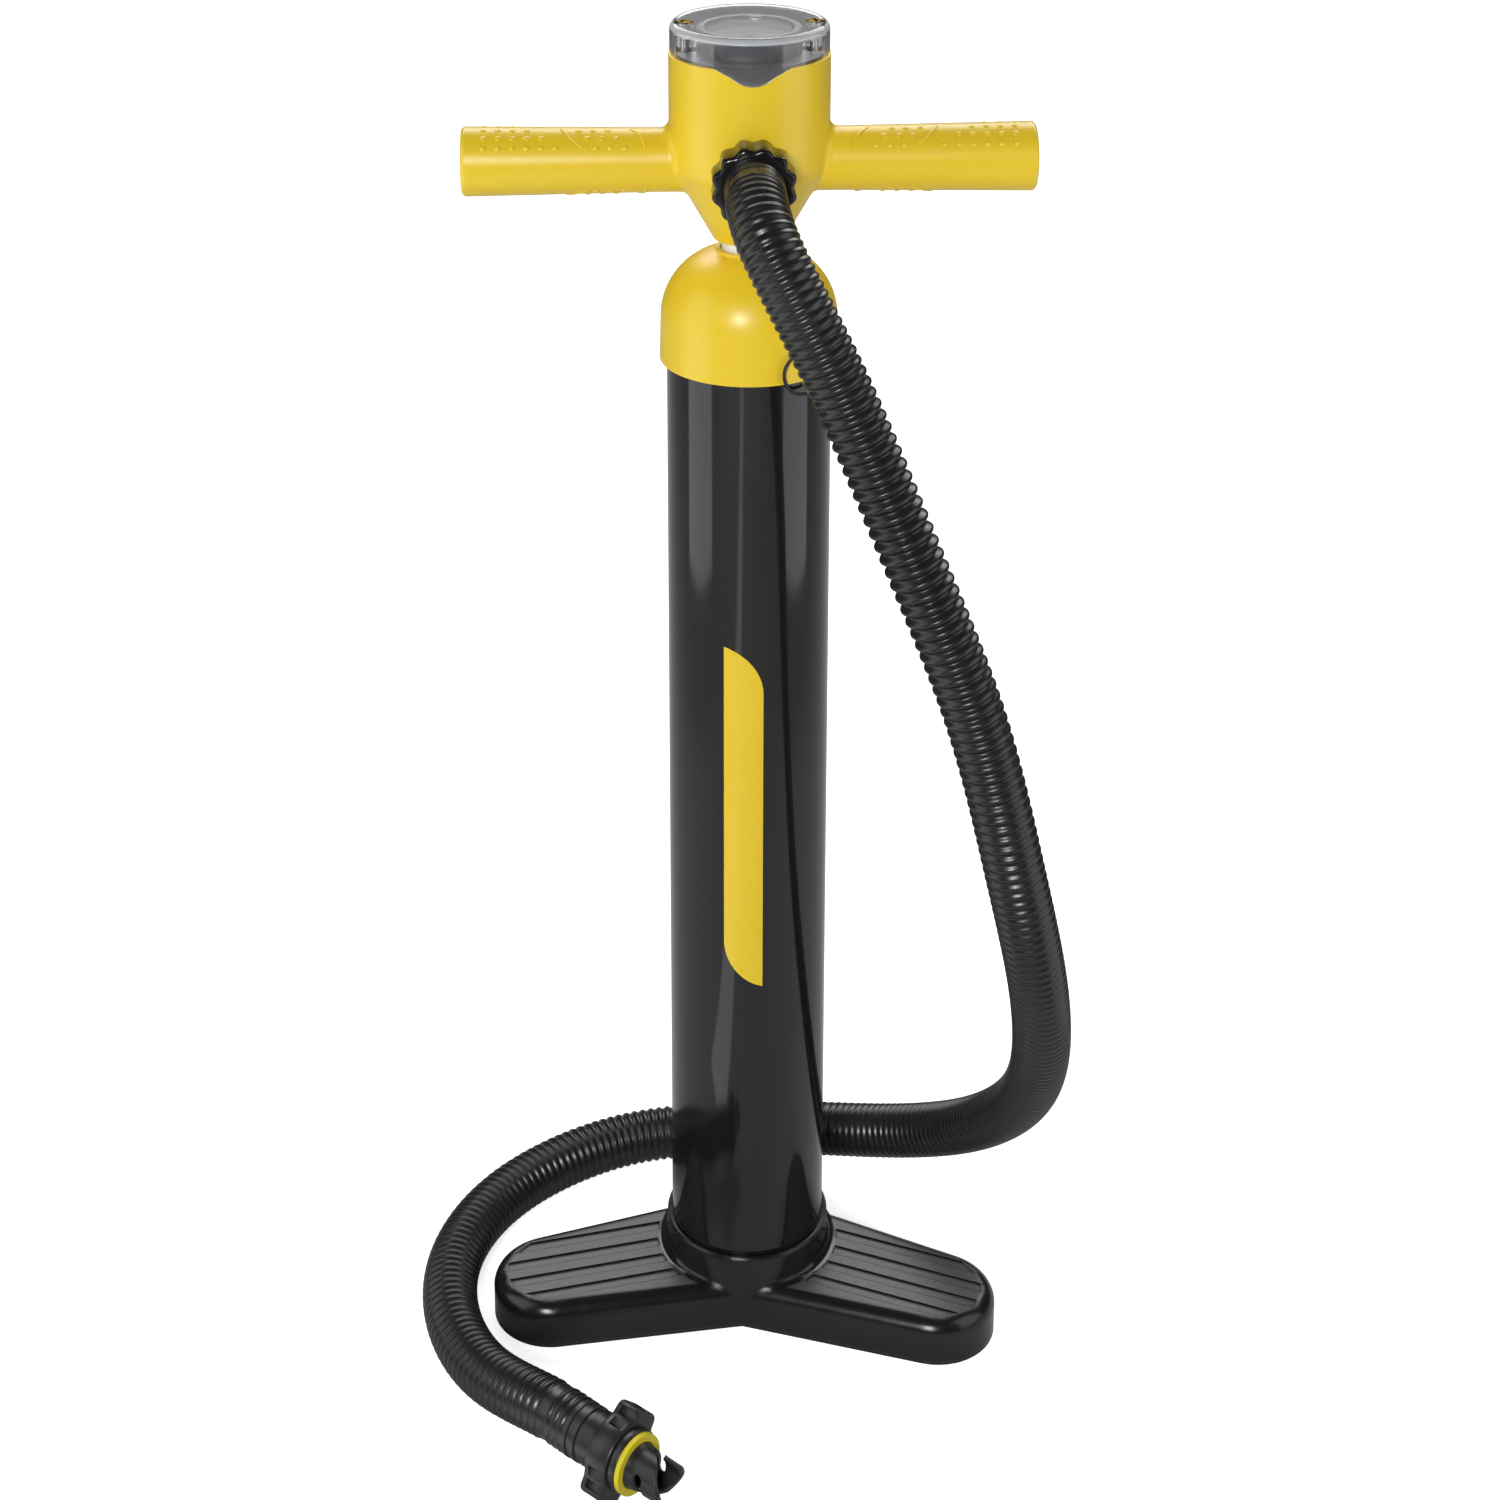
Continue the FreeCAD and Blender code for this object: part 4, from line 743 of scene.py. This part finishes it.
def make_wing_collar():
    """The twist collar behind the flange: a hub with two paddles, hollowed on their flanks."""
    sides = 160
    radii = wing_outline(sides)
    bore = 10.66 * MM
    eased = ((0.0, None), (0.0, 1.0), (0.25, 0.35), (0.9, 0.0))
    rows = [(WING_BACK + depth * MM, inset) for depth, inset in eased]
    rows += [(WING_FRONT - depth * MM, inset) for depth, inset in reversed(eased)]
    vertices = []
    for height, inset in rows:
        for k in range(sides):
            turn = 2 * math.pi * k / sides
            radius = bore if inset is None else radii[k] - inset * MM
            vertices.append((radius * math.cos(turn), radius * math.sin(turn), height))
    faces = grid_faces(len(rows), sides)
    last = (len(rows) - 1) * sides
    for k in range(sides):
        beside = (k + 1) % sides
        faces.append((last + k, last + beside, beside, k))
    piece = new_piece("wing_collar_cored", vertices, faces, "black_moulding")
    boxes = []
    rim = 2.6 * MM
    low, high = WING_BACK + rim, WING_FRONT - rim
    for wing in (-1, 1):
        for flank in (-1, 1):
            for inner, outer, floor in ((14.4, 18.0, 5.0), (9.2, 13.0, 8.4)):
                across = sorted((wing * inner * MM, wing * outer * MM))
                deep = sorted((flank * floor * MM, flank * 20 * MM))
                boxes.append(((across[0], deep[0], low), (across[1], deep[1], high)))
        tip = sorted((wing * 18.8 * MM, wing * 24 * MM))
        boxes.append(((tip[0], -3.4 * MM, low + 0.8 * MM), (tip[1], 3.4 * MM, high - 0.8 * MM)))
    cut_boxes(piece, boxes)
    piece.data.transform(ADAPTER_FRAME)
    smooth_by_angle(piece, 40)
    paint(piece, "black_moulding")
    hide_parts("wing_collar")
    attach(piece, "valve_adapter")


def bayonet_edge(turn):
    """How far the barrel's front edge stands from the adapter's back end, half a turn repeated:
    it rises from the pin's entry to the tip of the hook."""
    places = (0, 20, 54, 76, 103, 125, 155, 163)
    reaches = (38.6, 43.5, 48.4, 49.8, 51.8, 53.2, 53.4, 52.6)
    return float(np.interp(turn % 180, places, reaches))


BAYONET_RADIUS_MM = 9.45


def make_bayonet():
    """The nozzle: flange, flared neck and a barrel whose front is cut into two bayonet hooks.
    Its profile and the pin's entry, slot and hooks are in millimetres and degrees."""
    entry, entry_end, slot_end = 57.0, 163.0, 94.0
    slot_low, slot_high = 39.4, 44.0
    columns = 240
    profile = [(28.5, 13.2), (28.8, 13.9), (29.3, 14.2), (31.9, 14.2), (32.3, 14.0), (32.5, 13.5),
               (32.55, 10.9), (33.6, 10.6), (34.8, 10.35), (35.8, 10.0), (37.0, 9.7), (38.4, 9.5)]
    neck = len(profile)
    slot_rows = 12
    hook_rows = 14
    rows = neck + slot_rows + 1 + hook_rows
    vertices, faces = [], []
    for row in range(rows):
        for k in range(columns):
            turn = 360.0 * k / columns
            edge = bayonet_edge(turn - entry)
            if row < neck:
                along, radius = profile[row]
            else:
                if row <= neck + slot_rows:
                    along = slot_low + (slot_high - slot_low) * (row - neck) / slot_rows
                else:
                    share = (row - neck - slot_rows) / hook_rows
                    along = slot_high + (max(edge, slot_high) - slot_high) * share
                along = min(along, edge)
                radius = BAYONET_RADIUS_MM - 0.03 * (along - slot_low)
            angle = math.radians(turn)
            vertices.append((radius * MM * math.cos(angle), radius * MM * math.sin(angle), along * MM))
    for row in range(rows - 1):
        for k in range(columns):
            if row >= neck - 1:
                middle = (360.0 * (k + 0.5) / columns - entry) % 180
                if middle > entry_end:
                    continue
                along = slot_low + (slot_high - slot_low) * (row + 0.5 - neck) / slot_rows
                half = (slot_high - slot_low) / 2
                rounding = half - math.sqrt(max(half ** 2 - (along - slot_low - half) ** 2, 0))
                slot_edge = slot_end + rounding / BAYONET_RADIUS_MM * 57.3
                if neck <= row < neck + slot_rows and middle > slot_edge:
                    continue
            beside = (k + 1) % columns
            low, high = row * columns, (row + 1) * columns
            faces.append((low + k, low + beside, high + beside, high + k))
    piece = new_piece("bayonet_nozzle_hooks", vertices, faces, "black_moulding")
    mesh = piece.data
    clean = bmesh.new()
    clean.from_mesh(mesh)
    bmesh.ops.remove_doubles(clean, verts=clean.verts, dist=0.00001)
    bmesh.ops.dissolve_degenerate(clean, edges=clean.edges, dist=0.00001)
    bmesh.ops.delete(clean, geom=[v for v in clean.verts if not v.link_faces], context="VERTS")
    clean.to_mesh(mesh)
    clean.free()
    level = frame_matrix(ADAPTER_POS, ADAPTER_OUT, ADAPTER_LEVEL)
    mesh.transform(level)
    thick = piece.modifiers.new("wall", "SOLIDIFY")
    thick.thickness = 2.2 * MM
    thick.offset = -1
    smooth_by_angle(piece, 40)
    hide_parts("bayonet_nozzle")
    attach(piece, "valve_adapter")


make_wing_collar()
make_bayonet()
soften = NODES["adapter_gasket"].modifiers.new("soft_edges", "BEVEL")
soften.width = 0.9 * MM
soften.segments = 4
soften.limit_method = "ANGLE"


# ------------------------------------------------------------------ gauge

def make_dial_marks():
    """Plain scale marks round the dial, longer at every fifth."""
    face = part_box("gauge_dial")[1].z + 0.03 * MM
    sweep = math.radians(264)
    first_mark = math.radians(222) + HEAD_TURN
    marks = 30
    vertices, faces = [], []
    for mark in range(marks + 1):
        turn = first_mark - sweep * mark / marks
        long_mark = mark % 5 == 0
        inner, outer = (12.2 if long_mark else 13.6) * MM, 15.2 * MM
        half = (0.28 if long_mark else 0.14) * MM
        out = Vector((math.cos(turn), math.sin(turn), 0))
        side = Vector((-out.y, out.x, 0)) * half
        base = Vector((0, 0, face))
        corner = len(vertices)
        for lift in (0, 0.04 * MM):
            up = Vector((0, 0, lift))
            vertices += [base + up + out * inner - side, base + up + out * outer - side,
                         base + up + out * outer + side, base + up + out * inner + side]
        c = corner
        faces += [(c + 3, c + 2, c + 1, c), (c + 4, c + 5, c + 6, c + 7), (c, c + 1, c + 5, c + 4),
                  (c + 1, c + 2, c + 6, c + 5), (c + 2, c + 3, c + 7, c + 6), (c + 3, c, c + 4, c + 7)]
    piece = new_piece("dial_marks", vertices, faces, "mark")
    smooth_by_angle(piece, 30)
    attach(piece, "handle")


make_dial_marks()


# ------------------------------------------------------------------ stage

def make_stage():
    """A pale floor that fades into a white background."""
    mesh = bpy.data.meshes.new("floor")
    size = 6.0
    mesh.from_pydata([(-size, -size, 0), (size, -size, 0), (size, size, 0), (-size, size, 0)], [],
                     [(0, 1, 2, 3)])
    floor = bpy.data.objects.new("floor", mesh)
    bpy.context.scene.collection.objects.link(floor)
    material, tree, shader = new_material("floor_white")
    seen = add_node(tree, "ShaderNodeLightPath").outputs["Is Camera Ray"]
    paper = mix_colours(tree, seen, (0.62, 0.62, 0.62), (0.93, 0.93, 0.93))
    tree.links.new(paper, shader.inputs["Base Color"])
    shader.inputs["Emission Color"].default_value = (1, 1, 1, 1)
    distance = add_node(tree, "ShaderNodeVectorMath")
    distance.operation = "LENGTH"
    tree.links.new(object_place(tree), distance.inputs[0])
    glow = remap(tree, distance.outputs["Value"], 1.0, 3.0, 0.75, 1.0)
    tree.links.new(math_node(tree, "MULTIPLY", seen, glow), shader.inputs["Emission Strength"])
    shader.inputs["Roughness"].default_value = 0.9
    shader.inputs["Specular IOR Level"].default_value = 0.1
    floor.data.materials.append(material)
    floor.location.z = -0.0005


def make_world():
    """A white surround behind the object that falls off to a dim studio in front of it."""
    world = bpy.data.worlds.new("studio")
    bpy.context.scene.world = world
    world.use_nodes = True
    tree = world.node_tree
    split = add_node(tree, "ShaderNodeSeparateXYZ")
    tree.links.new(add_node(tree, "ShaderNodeTexCoord").outputs["Generated"], split.inputs[0])
    level = remap(tree, split.outputs["Y"], -0.2, 0.9, 0.02, 0.05)
    path = add_node(tree, "ShaderNodeLightPath").outputs
    seen = math_node(tree, "MAXIMUM", path["Is Camera Ray"], path["Is Transmission Ray"])
    background = tree.nodes["Background"].inputs
    background["Color"].default_value = (1, 1, 1, 1)
    tree.links.new(math_node(tree, "MAXIMUM", level, seen), background["Strength"])


def add_light(name, place, target, width, height, watts):
    """A rectangular softbox aimed at a point."""
    data = bpy.data.lights.new(name, "AREA")
    data.shape = "RECTANGLE"
    data.size, data.size_y = width, height
    data.energy = watts
    lamp = bpy.data.objects.new(name, data)
    lamp.location = place
    lamp.rotation_euler = (Vector(target) - Vector(place)).to_track_quat("-Z", "Y").to_euler()
    lamp.visible_camera = False
    bpy.context.scene.collection.objects.link(lamp)


def make_lights():
    """A softbox each side, a large one above and behind, a small key light above the camera and a
    faint strip low in front that draws the soft line down the barrel."""
    add_light("softbox_left", (-0.57, -0.23, 0.55), (0, 0, 0.55), 0.44, 0.9, 1.8)
    add_light("softbox_right", (0.58, -0.20, 0.55), (0, 0, 0.55), 0.44, 0.9, 1.6)
    add_light("softbox_back", (0.05, 1.4, 1.6), (0, 0, 0.1), 2.2, 1.0, 30)
    add_light("key", (-0.28, -1.9, 1.25), (0, 0, 0.33), 0.5, 0.4, 26)
    add_light("low_strip", (-0.13, -0.70, 0.004), (-0.13, -0.70, 1.0), 0.09, 1.1, 0.3)


CAMERA_TURN = math.radians(3.7)
CAMERA_PITCH = math.radians(16.9)
CAMERA_DISTANCE = 1.1274
CAMERA_SIDE = -0.00827
CAMERA_HEIGHT = 0.9021
CAMERA_SHIFT = (0.0133, -0.3847)


def make_camera():
    """The camera stands a little to the right and above, level sideways, with a lens shift that
    applies only from this place, so that other views stay centred."""
    data = bpy.data.cameras.new("camera")
    camera = bpy.data.objects.new("camera", data)
    bpy.context.scene.collection.objects.link(camera)
    data.sensor_width = 36.0
    data.lens = 66.0
    cos_turn, sin_turn = math.cos(CAMERA_TURN), math.sin(CAMERA_TURN)
    across, back = CAMERA_SIDE, -CAMERA_DISTANCE
    camera.location = (across * cos_turn - back * sin_turn,
                       across * sin_turn + back * cos_turn,
                       CAMERA_HEIGHT)
    camera.rotation_euler = (math.pi / 2 - CAMERA_PITCH, 0, CAMERA_TURN)
    for path, shift in zip(("shift_x", "shift_y"), CAMERA_SHIFT):
        driver = data.driver_add(path).driver
        driver.type = "SCRIPTED"
        for name, channel in (("px", "LOC_X"), ("py", "LOC_Y"), ("pz", "LOC_Z")):
            variable = driver.variables.new()
            variable.name = name
            variable.type = "TRANSFORMS"
            variable.targets[0].id = camera
            variable.targets[0].transform_type = channel
        driver.expression = "%.4f if abs(px - %.5f) + abs(py - %.5f) + abs(pz - %.5f) < 0.001 else 0" % (
            shift, *camera.location)
    bpy.context.scene.camera = camera


bpy.context.scene.view_settings.view_transform = "Standard"
make_stage()
make_world()
make_lights()
make_camera()
